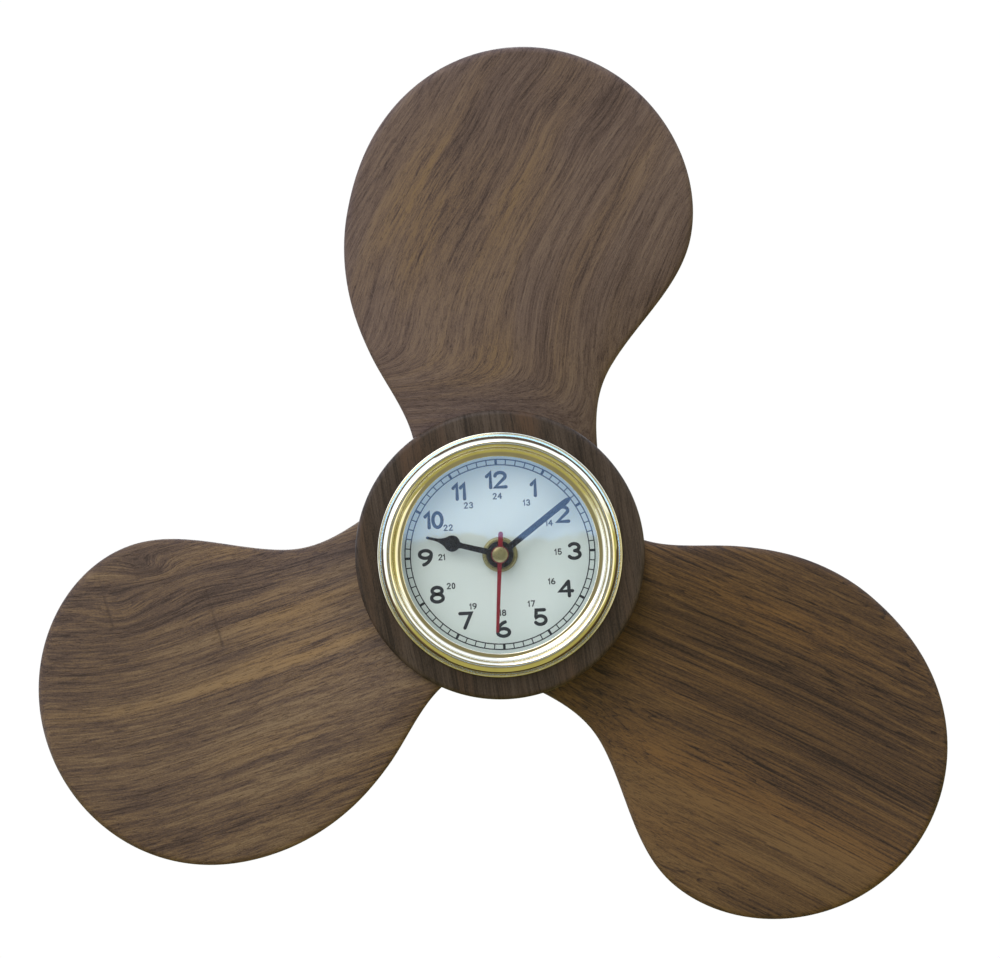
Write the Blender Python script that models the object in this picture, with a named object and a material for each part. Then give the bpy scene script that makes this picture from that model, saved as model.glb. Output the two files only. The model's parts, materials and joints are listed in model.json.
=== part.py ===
"""A three-blade wooden ship's propeller that holds a quartz clock in its hub, for hanging on a wall.

Run with blender --background --python part.py. Sizes below are millimetres and the model is in metres.
World frame: X to the right and Z up as the clock is read, Y from the front to the wall. The wall plane
is Y = 0, and the origin is the wall screw's centre in the keyhole of the hanger.
Across the face (x, z) every piece is placed from the hub's axis, and depths (y) run from the wall plane.
"""
import math

import bmesh
import bpy

MM = 0.001                      # metres in a millimetre
CLEAR = 0.3                     # gap between pieces that rest on or fit into each other
OVERRUN = 1.0                   # how far a cutting tool runs past the face that it cuts
SEGMENTS = 40                   # sides of a large turned piece
MEDIUM_SEGMENTS = 20            # sides of a nut, washer, collar or battery
SMALL_SEGMENTS = 12             # sides of an arbor, boss or stud
SMOOTH_ANGLE = math.radians(32)

# hub and hanger
BORE_WALL = 9.65
BORE_PLAY = 0.45                # between the movement's corners and the bore
BACK_ROOM = 8.3                 # from the movement's back to the wall
HUB_FRONT_ROUND = 1.6
HUB_BACK_CHAMFER = 0.5
BORE_LIP = 1.6                  # how far the lip at the back stands into the bore
BORE_LIP_DEPTH = 4.0
HANGER_HEIGHT = 8.0
HANGER_SCREW_SPACING = 16.0
HANGER_THICKNESS = 1.2
HANGER_ABOVE_LIP = 1.1
KEYHOLE_RADIUS = 2.3
KEYHOLE_SLOT = 2.3              # width of the narrow part
KEYHOLE_RISE = 2.9              # from the round hole's centre to the wall screw's centre
KEYHOLE_LOW = 1.1               # how far the round hole lies below the plate's middle
POCKET_DEPTH = 3.6
POCKET_CORNER = 1.0
HANGER_SCREW_RADIUS = 1.0
HANGER_SCREW_HEAD = 1.9
HANGER_SCREW_LENGTH = 9.0
HANGER_SCREW_POINT = 2.0        # length of the tapered end
HANGER_HEAD_HEIGHT = 1.0
HANGER_HEAD_SUNK = 0.1

# blades: each is carved by hand, so reach and width differ a little
BLADES = {                      # axis angle from +X, tip radius, greatest half width
    "blade_top": (87.2, 170.7, 58.0),
    "blade_left": (206.6, 165.3, 57.2),
    "blade_right": (326.1, 170.8, 58.8),
}
PITCH = 125.0                   # advance of the screw surface in one turn
NECK_HALF_WIDTH = 30.9
NECK_RADIUS = 33.6              # where the flare from neck to paddle begins
WIDEST_RADIUS = 110.9
TIP_SWAY = -2.7                 # middle line of the paddle, towards the trailing edge
NECK_SWAY = 8.9                 # bulge of the middle line towards the leading edge
SWAY_RADIUS = 65.5
SWAY_INNER_REACH = 25.2
SWAY_OUTER_REACH = 33.6
ROOT_THICKNESS = 10.0
TIP_THICKNESS = 5.0
EDGE_THICKNESS = 2.8
EDGE_BULGE = 1.2
BLADE_STATIONS = 16
BLADE_COLUMNS = 9
ROOT_STEPS = 8                  # passes that settle a root point on the hub's round
TIP_ANGLE = math.radians(86)    # the last station on the quarter ellipse of the tip
DOWEL_RADIUS = 3.0
DOWEL_SIDES = 16
DOWEL_SPACING = 28.0
DOWEL_IN_BLADE = 13.0
DOWEL_HUB_WALL = 1.2            # wood left between a dowel's hole and the bore

# clock head: the bezel's radii are given from the bore's radius
DIAL_SETBACK = 7.5              # dial's face behind the hub's front
DIAL_THICKNESS = 0.6
PAN_THICKNESS = 1.2
CUSHION_THICKNESS = 1.5
GLASS_THICKNESS = 1.8
GLASS_ABOVE_DIAL = 8.8
BEZEL_LIP_BEYOND_BORE = 2.6
BEZEL_LIP_HEIGHT = 1.0
BEZEL_LIP_CHAMFER = 0.3
BEZEL_ROLL_BEYOND_BORE = 1.4
BEZEL_ROLL_WALL = 2.2           # straight part of the roll's outer side
BEZEL_ROLL_FOOT = 0.4
BEZEL_CREST_INSIDE_BORE = 0.8
BEZEL_COVE_INSIDE_BORE = 3.0
BEZEL_SIGHT_INSIDE_BORE = 5.8
BEZEL_SIGHT_EDGE = 0.7
BEZEL_COVE_RISE = 1.5
BEZEL_COVE_WIDTH = 1.0
BEZEL_COVE_DEPTH = 0.4
BEZEL_HEIGHT = 6.5
SLEEVE_THICKNESS = 0.4
SKIRT_WALL = 1.4
SKIRT_GROOVE = 0.5
SKIRT_GROOVE_SETBACK = 1.8      # groove's front edge behind the dial's face
SKIRT_END_LAND = 0.4
RING_THICKNESS = 0.6
RING_WIDTH = 1.65
RING_GAP_ANGLE = math.radians(16)
SPACER_WALL = 2.5

# arbor, pipes and bush, one round another
ARBOR_RADIUS = 0.45
MINUTE_PIPE_WALL = 1.0
HOUR_PIPE_WALL = 0.45
BUSH_WALL = 1.1
BUSH_REACH = 3.4                # in front of the dial
NUT_WALL = 1.4
NUT_HEIGHT = 2.0
WASHER_RIM = 0.3                # washer's edge beyond the nut
WASHER_THICKNESS = 0.5
CUSHION_RIM = 2.1

# movement: the case is as large as the battery and the train need
CASE_CORNER = 3.5
CASE_WALL = 1.2
LID_THICKNESS = 1.2
BATTERY_RADIUS = 7.25
BATTERY_LENGTH = 49.2
BATTERY_SHOULDER = 0.8
BATTERY_CRIMP = 0.5
BATTERY_PLAY = 0.35             # between the battery and the case's lower wall
NUB_RADIUS = 2.75
NUB_LENGTH = 1.3
PARTITION = 1.0
NOTCH_LENGTH = 1.2              # gap in the partition for a contact
CONTACT_THICKNESS = 0.4
CONTACT_WIDTH = 9.0
CONTACT_PLAY = 0.2
CONTACT_BACK_GAP = 0.4
CONTACT_RISE = 2.5              # above the partition
CONTACT_BEND = 5.0              # half height of the part that faces the battery
CONTACT_FLAT = 2.0              # half height of the bowed contact's flat
SPRING_BOW = 0.55
PILLARS = ((-17.0, -3.0), (20.0, -6.0), (16.0, 22.0))
PILLAR_RADIUS = 1.5
BRIDGE_MARGIN = 2.5             # bridge beyond its pillars
BRIDGE_THICKNESS = 0.6
BRIDGE_TOP_LENGTH = 14.0
BOARD_WIDTH = 8.8
BOARD_HALF_HEIGHT = 9.0
BOARD_GAP = 1.0
BOARD_THICKNESS = 1.0
CHIP_RADIUS = 2.6
CHIP_Z = 4.0
CHIP_THICKNESS = 1.0
CRYSTAL_WIDTH = 2.2
CRYSTAL_Z = -3.5
CRYSTAL_LENGTH = 6.0
CRYSTAL_THICKNESS = 2.0

# motor: the stator's bar lies round the rotor, and its two arms hold the coil's core
STATOR_LEFT = -11.0
STATOR_RIGHT = 9.5
STATOR_ARM = 2.4
STATOR_BELOW = 4.2              # from the rotor's axis to the bar's lower edge
STATOR_ABOVE = 3.8
STATOR_ARM_RISE = 5.2
STATOR_GAP = 0.5                # round the rotor's magnet
CORE_BELOW_ARM_TOP = 1.6
CORE_WIDTH = 2.0
CORE_THICKNESS = 0.6
SPOOL_BORE = 1.35
SPOOL_CORE = 1.75
SPOOL_FLANGE = 3.1
SPOOL_FLANGE_THICKNESS = 0.8
SPOOL_LEFT = -8.0
SPOOL_RIGHT = 6.5
WINDING_RADIUS = 2.95
COIL_PLAY = 0.7                 # between the coil and the case's upper wall

# wheel train: teeth, module, and where each layer lies behind the movement's front face
TOOTH_TIP = 0.7                 # addendum and dedendum, in modules
TOOTH_ROOT = 0.95
TIP_SHARE = 0.11                # half widths of a tooth's tip and root, as shares of the pitch
ROOT_SHARE = 0.26
HOUR_MODULE = 0.5
TRAIN_PLAY = 0.77               # between the centre wheel's teeth and the partition
BOSS_PLAY = 1.15                # between the hour wheel's teeth and the third wheel's boss
ARBOR_PLAY = 1.374              # between the seconds wheel's teeth and the third wheel's arbor
TEETH = {
    "minute_pinion": 8, "minute_wheel": 24, "hour_pinion": 8, "hour_wheel": 32, "setting": 8,
    "centre_wheel": 48, "third_pinion": 6, "third_wheel": 45, "seconds_pinion": 6,
    "seconds_wheel": 36, "step_pinion": 6, "step_wheel": 30, "rotor_pinion": 6,
}
WHEEL_THICKNESS = 0.8
HOUR_LAYER = 1.7
MINUTE_LAYER = 3.0
CENTRE_LAYER = 4.6
COLLAR_LAYER = 5.7
BRIDGE_LAYER = 6.5
THIRD_LAYER = 7.5
SECONDS_LAYER = 8.9
STEP_LAYER = 10.3
MAGNET_LAYER = 11.5
STATOR_LAYER = 12.1
CORE_LAYER = 11.2
BOARD_LAYER = 9.0
ARBOR_FRONT = 2.2
PIVOT_END = 0.5                 # an arbor's end, in front of the lid
MINUTE_COLLAR_RIM = 1.1         # collar at the back of the minute arbor
MINUTE_COLLAR_THICKNESS = 0.4
STUD_RADIUS = 0.6
BOSS_RADIUS = 1.3
BOSS_HEIGHT = 1.3
MAGNET_RADIUS = 2.5
MAGNET_HEIGHT = 1.6
MAGNET_PLAY = 0.4               # between the magnet and the lid's boss
KNOB_RADIUS = 5.0
KNOB_STEM = 1.2
KNOB_HEIGHT = 2.0
KNOB_RIDGES = 16
MINUTE_WHEEL_ANGLE = math.radians(135)
THIRD_WHEEL_ANGLE = math.radians(20)
STEP_WHEEL_ANGLE = math.radians(95)
ROTOR_ANGLE = math.radians(40)

# hands: angles clockwise from twelve, as the clock hangs
HOUR_ANGLE = math.radians(283)
MINUTE_ANGLE = math.radians(51)
SECOND_ANGLE = math.radians(181.8)
HOUR_LENGTH = 25.3
HOUR_ROOT = 1.05                # half widths of the hour hand at its collar and below its bulb
HOUR_WAIST = (0.9, 12.0)
HOUR_BULB = (2.72, 16.4)        # radius, and distance from the axis
HOUR_BULB_START = math.radians(-70)
HOUR_BULB_END = math.radians(48)
HOUR_POINT = (0.9, 20.6)
MINUTE_LENGTH = 30.4
MINUTE_HALF_WIDTH = 1.15
MINUTE_TAPER = 4.0
SECOND_LENGTH = 26.0
SECOND_TAIL = 7.7
SECOND_TAIL_HALF_WIDTH = 0.65
SECOND_HALF_WIDTH = 0.5
HAND_THICKNESS = 0.5
HOUR_COLLAR_RIM = 1.7           # collars beyond the holes that they surround
HOUR_COLLAR_HEIGHT = 1.1
MINUTE_COLLAR_FACE_RIM = 0.95
MINUTE_COLLAR_HEIGHT = 0.8
SECOND_HUB = 2.9
SECOND_HUB_HEIGHT = 0.65
CAP_RADIUS = 2.6
CAP_HEIGHT = 0.9
HAND_STEP = 1.5                 # from one hand's back to the next hand's back


def polar(radius, angle, centre=(0.0, 0.0)):
    """A point at a radius and an angle, counter-clockwise from +X, about a centre."""
    return centre[0] + radius * math.cos(angle), centre[1] + radius * math.sin(angle)


HUB_AXIS = (0.0, 0.0)

# pipes and bush
MINUTE_PIPE_BORE = ARBOR_RADIUS + CLEAR
MINUTE_PIPE = MINUTE_PIPE_BORE + MINUTE_PIPE_WALL
HOUR_PIPE = MINUTE_PIPE + CLEAR + HOUR_PIPE_WALL
BUSH_BORE = HOUR_PIPE + CLEAR
BUSH_RADIUS = BUSH_BORE + BUSH_WALL
BUSH_HOLE = BUSH_RADIUS + CLEAR
NUT_RADIUS = BUSH_HOLE + NUT_WALL
WASHER_RADIUS = NUT_RADIUS + WASHER_RIM
CUSHION_RADIUS = WASHER_RADIUS + CUSHION_RIM

# wheels, from the hour wheel outwards
HOUR_WHEEL_TIP = (TEETH["hour_wheel"] / 2 + TOOTH_TIP) * HOUR_MODULE
MINUTE_REACH = (TEETH["hour_pinion"] + TEETH["hour_wheel"]) * HOUR_MODULE / 2
MOTION_MODULE = 2 * MINUTE_REACH / (TEETH["minute_pinion"] + TEETH["minute_wheel"])
SETTING_REACH = MINUTE_REACH + (TEETH["minute_wheel"] + TEETH["setting"]) * MOTION_MODULE / 2
THIRD_REACH = HOUR_WHEEL_TIP + BOSS_PLAY + BOSS_RADIUS
CENTRE_MODULE = 2 * THIRD_REACH / (TEETH["third_pinion"] + TEETH["centre_wheel"])
CENTRE_WHEEL_TIP = (TEETH["centre_wheel"] / 2 + TOOTH_TIP) * CENTRE_MODULE
THIRD_MODULE = 2 * THIRD_REACH / (TEETH["third_wheel"] + TEETH["seconds_pinion"])
SECONDS_MODULE = (THIRD_REACH - ARBOR_RADIUS - ARBOR_PLAY) / (TEETH["seconds_wheel"] / 2 + TOOTH_TIP)
STEP_REACH = (TEETH["seconds_wheel"] + TEETH["step_pinion"]) * SECONDS_MODULE / 2
ROTOR_REACH = (TEETH["step_wheel"] + TEETH["rotor_pinion"]) * SECONDS_MODULE / 2
MINUTE_WHEEL_AT = polar(MINUTE_REACH, MINUTE_WHEEL_ANGLE)
SETTING_AT = polar(SETTING_REACH, MINUTE_WHEEL_ANGLE)
THIRD_AT = polar(THIRD_REACH, THIRD_WHEEL_ANGLE)
STEP_AT = polar(STEP_REACH, STEP_WHEEL_ANGLE)
ROTOR_AT = polar(ROTOR_REACH, ROTOR_ANGLE, STEP_AT)

# case: inside, from the battery and the train
STATOR_TOP = ROTOR_AT[1] + STATOR_ABOVE + STATOR_ARM_RISE
COIL_Z = STATOR_TOP - CORE_BELOW_ARM_TOP
CONTACT_X = (BATTERY_LENGTH + NUB_LENGTH) / 2 + CONTACT_PLAY + SPRING_BOW
INNER_WIDTH = CONTACT_X + CONTACT_THICKNESS + CONTACT_BACK_GAP
BAY_HEIGHT = BATTERY_PLAY + 2 * BATTERY_RADIUS + CLEAR
INNER_HEIGHT = max(CENTRE_WHEEL_TIP + TRAIN_PLAY + PARTITION + BAY_HEIGHT, COIL_Z + SPOOL_FLANGE + COIL_PLAY)
HALF_WIDTH = INNER_WIDTH + CASE_WALL
HALF_HEIGHT = INNER_HEIGHT + CASE_WALL
CASE_DEPTH = max(CASE_WALL + CLEAR + 2 * BATTERY_RADIUS,
                 MAGNET_LAYER + MAGNET_HEIGHT + MAGNET_PLAY + BOSS_HEIGHT + LID_THICKNESS)
PARTITION_LOW = BAY_HEIGHT - INNER_HEIGHT
PARTITION_HIGH = PARTITION_LOW + PARTITION
BATTERY_Z = BATTERY_PLAY + BATTERY_RADIUS - INNER_HEIGHT

# bore and hub round the case
BORE_RADIUS = math.hypot(HALF_WIDTH - CASE_CORNER, HALF_HEIGHT - CASE_CORNER) + CASE_CORNER + BORE_PLAY
BORE_LIP_RADIUS = BORE_RADIUS - BORE_LIP
HUB_RADIUS = BORE_RADIUS + BORE_WALL
DIAL_STACK = DIAL_THICKNESS + PAN_THICKNESS + CUSHION_THICKNESS + 3 * CLEAR
HUB_DEPTH = DIAL_SETBACK + DIAL_STACK + CASE_DEPTH + BACK_ROOM
HANGER_Z = BORE_LIP_RADIUS + HANGER_ABOVE_LIP + HANGER_HEIGHT / 2
KEYHOLE_Z = HANGER_Z - KEYHOLE_LOW
HOOK_Z = KEYHOLE_Z + KEYHOLE_RISE

# depths, from the hub's front to the movement's back
HUB_FRONT = -HUB_DEPTH
HUB_MIDDLE = -HUB_DEPTH / 2
DIAL_FACE = HUB_FRONT + DIAL_SETBACK
PAN_FACE = DIAL_FACE + DIAL_THICKNESS + CLEAR
PAN_BACK = PAN_FACE + PAN_THICKNESS
CUSHION_FACE = PAN_BACK + CLEAR
CASE_FRONT = CUSHION_FACE + CUSHION_THICKNESS + CLEAR
CASE_BACK = CASE_FRONT + CASE_DEPTH
LID_INNER = CASE_BACK - LID_THICKNESS
CASE_RIM = LID_INNER - CLEAR
BATTERY_Y = CASE_BACK - BATTERY_RADIUS
GLASS_BACK = DIAL_FACE - GLASS_ABOVE_DIAL
GLASS_FRONT = GLASS_BACK - GLASS_THICKNESS
BUSH_FRONT = DIAL_FACE - BUSH_REACH
HOUR_HAND_BACK = BUSH_FRONT - CLEAR
MINUTE_HAND_BACK = HOUR_HAND_BACK - HAND_STEP
SECOND_HAND_BACK = MINUTE_HAND_BACK - HAND_STEP + CLEAR

# bezel and what it holds
SKIRT_RADIUS = BORE_RADIUS - SLEEVE_THICKNESS - 2 * CLEAR
SKIRT_BORE = SKIRT_RADIUS - SKIRT_WALL
DISC_RADIUS = SKIRT_BORE - CLEAR

MATERIALS = {                   # base colour, metallic, roughness
    "blade_wood": ((0.14, 0.09, 0.06, 1), 0.0, 0.45),
    "hub_wood": ((0.07, 0.05, 0.035, 1), 0.0, 0.45),
    "dowel_wood": ((0.50, 0.34, 0.18, 1), 0.0, 0.6),
    "brass": ((0.78, 0.62, 0.25, 1), 1.0, 0.15),
    "glass": ((0.85, 0.93, 0.93, 1), 0.0, 0.02),
    "dial_paint": ((0.70, 0.76, 0.76, 1), 0.0, 0.4),
    "steel": ((0.55, 0.55, 0.56, 1), 1.0, 0.3),
    "rubber": ((0.02, 0.02, 0.02, 1), 0.0, 0.8),
    "black_plastic": ((0.02, 0.02, 0.022, 1), 0.0, 0.45),
    "white_plastic": ((0.75, 0.74, 0.70, 1), 0.0, 0.4),
    "black_paint": ((0.012, 0.012, 0.015, 1), 0.0, 0.3),
    "red_paint": ((0.50, 0.01, 0.02, 1), 0.0, 0.3),
    "battery_jacket": ((0.05, 0.12, 0.30, 1), 0.2, 0.35),
    "copper": ((0.72, 0.33, 0.16, 1), 1.0, 0.35),
    "board": ((0.03, 0.16, 0.07, 1), 0.0, 0.5),
}


def clear_scene():
    for obj in list(bpy.data.objects):
        bpy.data.objects.remove(obj)


def make_material(name):
    colour, metallic, roughness = MATERIALS[name]
    material = bpy.data.materials.new(name)
    material.use_nodes = True
    shader = material.node_tree.nodes["Principled BSDF"]
    shader.inputs["Base Color"].default_value = colour
    shader.inputs["Metallic"].default_value = metallic
    shader.inputs["Roughness"].default_value = roughness
    return material


def mesh_object(name, points, faces, material=None, at=HUB_AXIS):
    """An object on the hub's axis, or at a point across from it, from points in millimetres."""
    mesh = bpy.data.meshes.new(name)
    mesh.from_pydata([(x * MM, y * MM, z * MM) for x, y, z in points], [], faces)
    bm = bmesh.new()
    bm.from_mesh(mesh)
    bmesh.ops.recalc_face_normals(bm, faces=bm.faces)
    bm.to_mesh(mesh)
    bm.free()
    obj = bpy.data.objects.new(name, mesh)
    bpy.context.scene.collection.objects.link(obj)
    obj.parent = bpy.data.objects["hub_axis"]
    obj.location = (at[0] * MM, 0.0, at[1] * MM)
    if material:
        mesh.materials.append(bpy.data.materials.get(material) or make_material(material))
    return obj


def turned(name, profile, material=None, at=HUB_AXIS, segments=SEGMENTS):
    """A closed profile of (radius, depth) turned about the Y axis; radius 0 makes a pole."""
    points, rings, faces = [], [], []
    for radius, depth in profile:
        sides = segments if radius else 1
        rings.append([len(points) + side for side in range(sides)])
        points += [(x, depth, z) for x, z in circle(radius, sides)]
    for ring, following in zip(rings, rings[1:] + rings[:1]):
        for side in range(segments):
            corners = [loop[(side + step) % len(loop)]
                       for loop, step in ((ring, 0), (ring, 1), (following, 1), (following, 0))]
            corners = list(dict.fromkeys(corners))
            if len(corners) > 2:
                faces.append(corners)
    return mesh_object(name, points, faces, material, at)


def rod(name, radius, front, back, material=None, at=HUB_AXIS, segments=SMALL_SEGMENTS):
    return turned(name, [(0, front), (radius, front), (radius, back), (0, back)], material, at, segments)


def tube(name, inner, outer, front, back, material=None, at=HUB_AXIS, segments=SEGMENTS):
    profile = [(inner, front), (outer, front), (outer, back), (inner, back)]
    return turned(name, profile, material, at, segments)


def prism(name, outline, front, back, material=None, at=HUB_AXIS):
    """An outline of (x, z) points carried from the front depth to the back depth."""
    count = len(outline)
    points = [(x, front, z) for x, z in outline] + [(x, back, z) for x, z in outline]
    faces = [list(range(count)), list(range(count, 2 * count))]
    faces += [[i, (i + 1) % count, (i + 1) % count + count, i + count] for i in range(count)]
    return mesh_object(name, points, faces, material, at)


def circle(radius, sides, centre=(0.0, 0.0)):
    return [polar(radius, 2 * math.pi * i / sides, centre) for i in range(sides)]


def arc(radius, start, end, sides, centre=(0.0, 0.0)):
    return [polar(radius, start + (end - start) * i / sides, centre) for i in range(sides + 1)]


def rectangle(left, right, low, high):
    return [(left, low), (right, low), (right, high), (left, high)]


def rounded_rectangle(left, right, low, high, radius, sides=3):
    corners = ((right, high, 1, 1), (left, high, -1, 1), (left, low, -1, -1), (right, low, 1, -1))
    outline = []
    for quarter, (x, z, side, up) in enumerate(corners):
        start = quarter * math.pi / 2
        outline += arc(radius, start, start + math.pi / 2, sides, (x - side * radius, z - up * radius))
    return outline


def stadium(half_length, radius, centre, sides=6):
    right = arc(radius, -math.pi / 2, math.pi / 2, sides, (centre[0] + half_length, centre[1]))
    left = arc(radius, math.pi / 2, 3 * math.pi / 2, sides, (centre[0] - half_length, centre[1]))
    return right + left


def boolean(target, tool, operation):
    """Cuts a tool from the target, or joins the tool to it, and removes the tool."""
    modifier = target.modifiers.new(operation.lower(), "BOOLEAN")
    modifier.object = tool
    modifier.operation = operation
    bpy.context.view_layer.update()
    evaluated = target.evaluated_get(bpy.context.evaluated_depsgraph_get())
    mesh = bpy.data.meshes.new_from_object(evaluated)
    target.modifiers.remove(modifier)
    target.data = mesh
    bpy.data.objects.remove(tool)
    return target


def cut(target, *tools):
    for tool in tools:
        boolean(target, tool, "DIFFERENCE")
    return target


def join(target, *others):
    for other in others:
        boolean(target, other, "UNION")
    return target


# hub, hanger, blades

def build_hub():
    rounding = arc(HUB_FRONT_ROUND, math.pi / 2, 0, 4)
    front_edge = [(HUB_RADIUS - HUB_FRONT_ROUND + x, HUB_FRONT + HUB_FRONT_ROUND - z) for x, z in rounding]
    back_edge = [(HUB_RADIUS, -HUB_BACK_CHAMFER), (HUB_RADIUS - HUB_BACK_CHAMFER, 0)]
    bore = [(BORE_LIP_RADIUS, 0), (BORE_LIP_RADIUS, -BORE_LIP_DEPTH), (BORE_RADIUS, -BORE_LIP_DEPTH),
            (BORE_RADIUS, HUB_FRONT)]
    hub = turned("hub", front_edge + back_edge + bore, "hub_wood")
    for name, end, across in dowel_seats():
        hole = dowel("hole", name, across, end - CLEAR, end + HUB_RADIUS, DOWEL_RADIUS + CLEAR)
        cut(hub, hole)
    recess = stadium(HANGER_SCREW_SPACING / 2, HANGER_HEIGHT / 2 + CLEAR, (0, HANGER_Z))
    cut(hub, prism("recess", recess, -HANGER_THICKNESS - CLEAR, OVERRUN))
    pocket_width = 2 * KEYHOLE_RADIUS + 2 * CLEAR
    pocket = rounded_rectangle(-pocket_width / 2, pocket_width / 2, KEYHOLE_Z - KEYHOLE_RADIUS,
                               HOOK_Z + KEYHOLE_SLOT, POCKET_CORNER)
    cut(hub, prism("pocket", pocket, -HANGER_THICKNESS - POCKET_DEPTH, OVERRUN))
    for side in (-1, 1):
        at = (side * HANGER_SCREW_SPACING / 2, HANGER_Z)
        cut(hub, rod("pilot", HANGER_SCREW_RADIUS + CLEAR, -HANGER_SCREW_LENGTH - CLEAR, OVERRUN, at=at))


def build_hanger():
    plate = prism("hanger_plate", stadium(HANGER_SCREW_SPACING / 2, HANGER_HEIGHT / 2, (0, HANGER_Z)),
                  -HANGER_THICKNESS, 0, "brass")
    front, back = -HANGER_THICKNESS - OVERRUN, OVERRUN
    cut(plate, rod("round_hole", KEYHOLE_RADIUS, front, back, at=(0, KEYHOLE_Z), segments=MEDIUM_SEGMENTS))
    slot_end = arc(KEYHOLE_SLOT / 2, 0, math.pi, 8, (0, HOOK_Z))
    slot = slot_end + [(-KEYHOLE_SLOT / 2, KEYHOLE_Z), (KEYHOLE_SLOT / 2, KEYHOLE_Z)]
    cut(plate, prism("slot", slot, front, back))
    for name, side in (("hanger_screw_left", -1), ("hanger_screw_right", 1)):
        at = (side * HANGER_SCREW_SPACING / 2, HANGER_Z)
        cut(plate, turned("countersink", screw_profile(CLEAR, OVERRUN), at=at, segments=SMALL_SEGMENTS))
        turned(name, screw_profile(0, -HANGER_HEAD_SUNK), "steel", at, SMALL_SEGMENTS)


def screw_profile(clearance, head_top):
    """A countersunk screw from its tip to its head; with a clearance it is the hole for one."""
    shank, head = HANGER_SCREW_RADIUS + clearance, HANGER_SCREW_HEAD + clearance
    tip = -HANGER_SCREW_LENGTH
    neck = -HANGER_HEAD_SUNK - HANGER_HEAD_HEIGHT
    profile = [(0, tip), (shank / 2, tip + HANGER_SCREW_POINT / 2), (shank, tip + HANGER_SCREW_POINT),
               (shank, neck), (head, -HANGER_HEAD_SUNK)]
    if head_top > -HANGER_HEAD_SUNK:
        profile.append((head, head_top))
    return profile + [(0, head_top)]


def half_width(radius, tip, widest):
    """Half a blade's width: half a cosine from neck to paddle, then a quarter ellipse to the tip."""
    if radius < WIDEST_RADIUS:
        share = max(0.0, (radius - NECK_RADIUS) / (WIDEST_RADIUS - NECK_RADIUS))
        return NECK_HALF_WIDTH + (widest - NECK_HALF_WIDTH) * (1 - math.cos(math.pi * share)) / 2
    share = (radius - WIDEST_RADIUS) / (tip - WIDEST_RADIUS)
    return widest * math.sqrt(max(0.0, 1 - share * share))


def middle_line(radius):
    """How far a blade's middle line lies to the leading side of its axis: a bell about the neck."""
    reach = SWAY_INNER_REACH if radius < SWAY_RADIUS else SWAY_OUTER_REACH
    return TIP_SWAY + NECK_SWAY * math.exp(-((radius - SWAY_RADIUS) / reach) ** 2)


def screw_surface(along, across):
    """Depth of the blade's middle surface, a constant-pitch screw: the leading edge is in front."""
    return HUB_MIDDLE - PITCH / (2 * math.pi) * math.atan2(across, along)


def blade_point(radius, tip, widest, root, place, inset):
    """Where a station crosses a line at a share of the half width; the root follows the hub's round."""
    along = radius
    for _ in range(ROOT_STEPS if root else 1):
        across = middle_line(along) + place * max(0.2, half_width(along, tip, widest) - inset)
        along = math.sqrt(root ** 2 - across ** 2) if root else radius
    return along, across


def blade_section(radius, tip, widest, root):
    """One closed loop of (along, across, depth) round a blade at a station."""
    share = (radius - NECK_RADIUS) / (tip - NECK_RADIUS)
    thickness = ROOT_THICKNESS + (TIP_THICKNESS - ROOT_THICKNESS) * share
    front, back = [], []
    for column in range(BLADE_COLUMNS):
        place = 2 * column / (BLADE_COLUMNS - 1) - 1
        along, across = blade_point(radius, tip, widest, root, place, EDGE_BULGE)
        depth = screw_surface(along, across)
        half_thick = (EDGE_THICKNESS + (thickness - EDGE_THICKNESS) * (1 - place ** 4)) / 2
        front.append((along, across, depth - half_thick))
        back.append((along, across, depth + half_thick))
    edges = []
    for place in (1, -1):
        along, across = blade_point(radius, tip, widest, root, place, 0)
        edges.append((along, across, screw_surface(along, across)))
    return front + [edges[0]] + back[::-1] + [edges[1]]


def build_blade(name):
    angle, tip, widest = BLADES[name]
    seat = HUB_RADIUS + CLEAR
    straight = BLADE_STATIONS // 2
    swing = BLADE_STATIONS - straight
    stations = [seat + (WIDEST_RADIUS - seat) * i / straight for i in range(straight)]
    stations += [WIDEST_RADIUS + (tip - WIDEST_RADIUS) * math.sin(TIP_ANGLE * i / swing)
                 for i in range(swing + 1)]
    loops = [blade_section(radius, tip, widest, seat if i == 0 else 0) for i, radius in enumerate(stations)]
    turn = math.radians(angle)
    points = [(along * math.cos(turn) - across * math.sin(turn), depth,
               along * math.sin(turn) + across * math.cos(turn))
              for loop in loops for along, across, depth in loop]
    count = len(loops[0])
    faces = [[start + i, start + (i + 1) % count, start + count + (i + 1) % count, start + count + i]
             for start in range(0, count * (len(loops) - 1), count) for i in range(count)]
    for start in (0, count * (len(loops) - 1)):
        faces += end_cap(start, count)
    blade = mesh_object(name, points, faces, "blade_wood")
    for seat_name, end, across in dowel_seats():
        if seat_name == name:
            far = end + dowel_length(across) + CLEAR
            cut(blade, dowel("hole", name, across, end, far, DOWEL_RADIUS + CLEAR))


def end_cap(start, count):
    """Closes a blade's end loop with strips from its front points to its back points."""
    last = BLADE_COLUMNS - 1
    strips = [[start + i, start + i + 1, start + count - 3 - i, start + count - 2 - i] for i in range(last)]
    leading = [start + last, start + last + 1, start + last + 2]
    trailing = [start, start + count - 2, start + count - 1]
    return strips + [leading, trailing]


def dowel_seats():
    """Each dowel: its blade, its inner end measured along the blade's axis, and its place across."""
    inner = BORE_RADIUS + DOWEL_HUB_WALL
    return [(name, inner, side * DOWEL_SPACING / 2) for name in BLADES for side in (1, -1)]


def dowel_length(across):
    return math.sqrt(HUB_RADIUS ** 2 - across ** 2) + DOWEL_IN_BLADE - (BORE_RADIUS + DOWEL_HUB_WALL)


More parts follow.
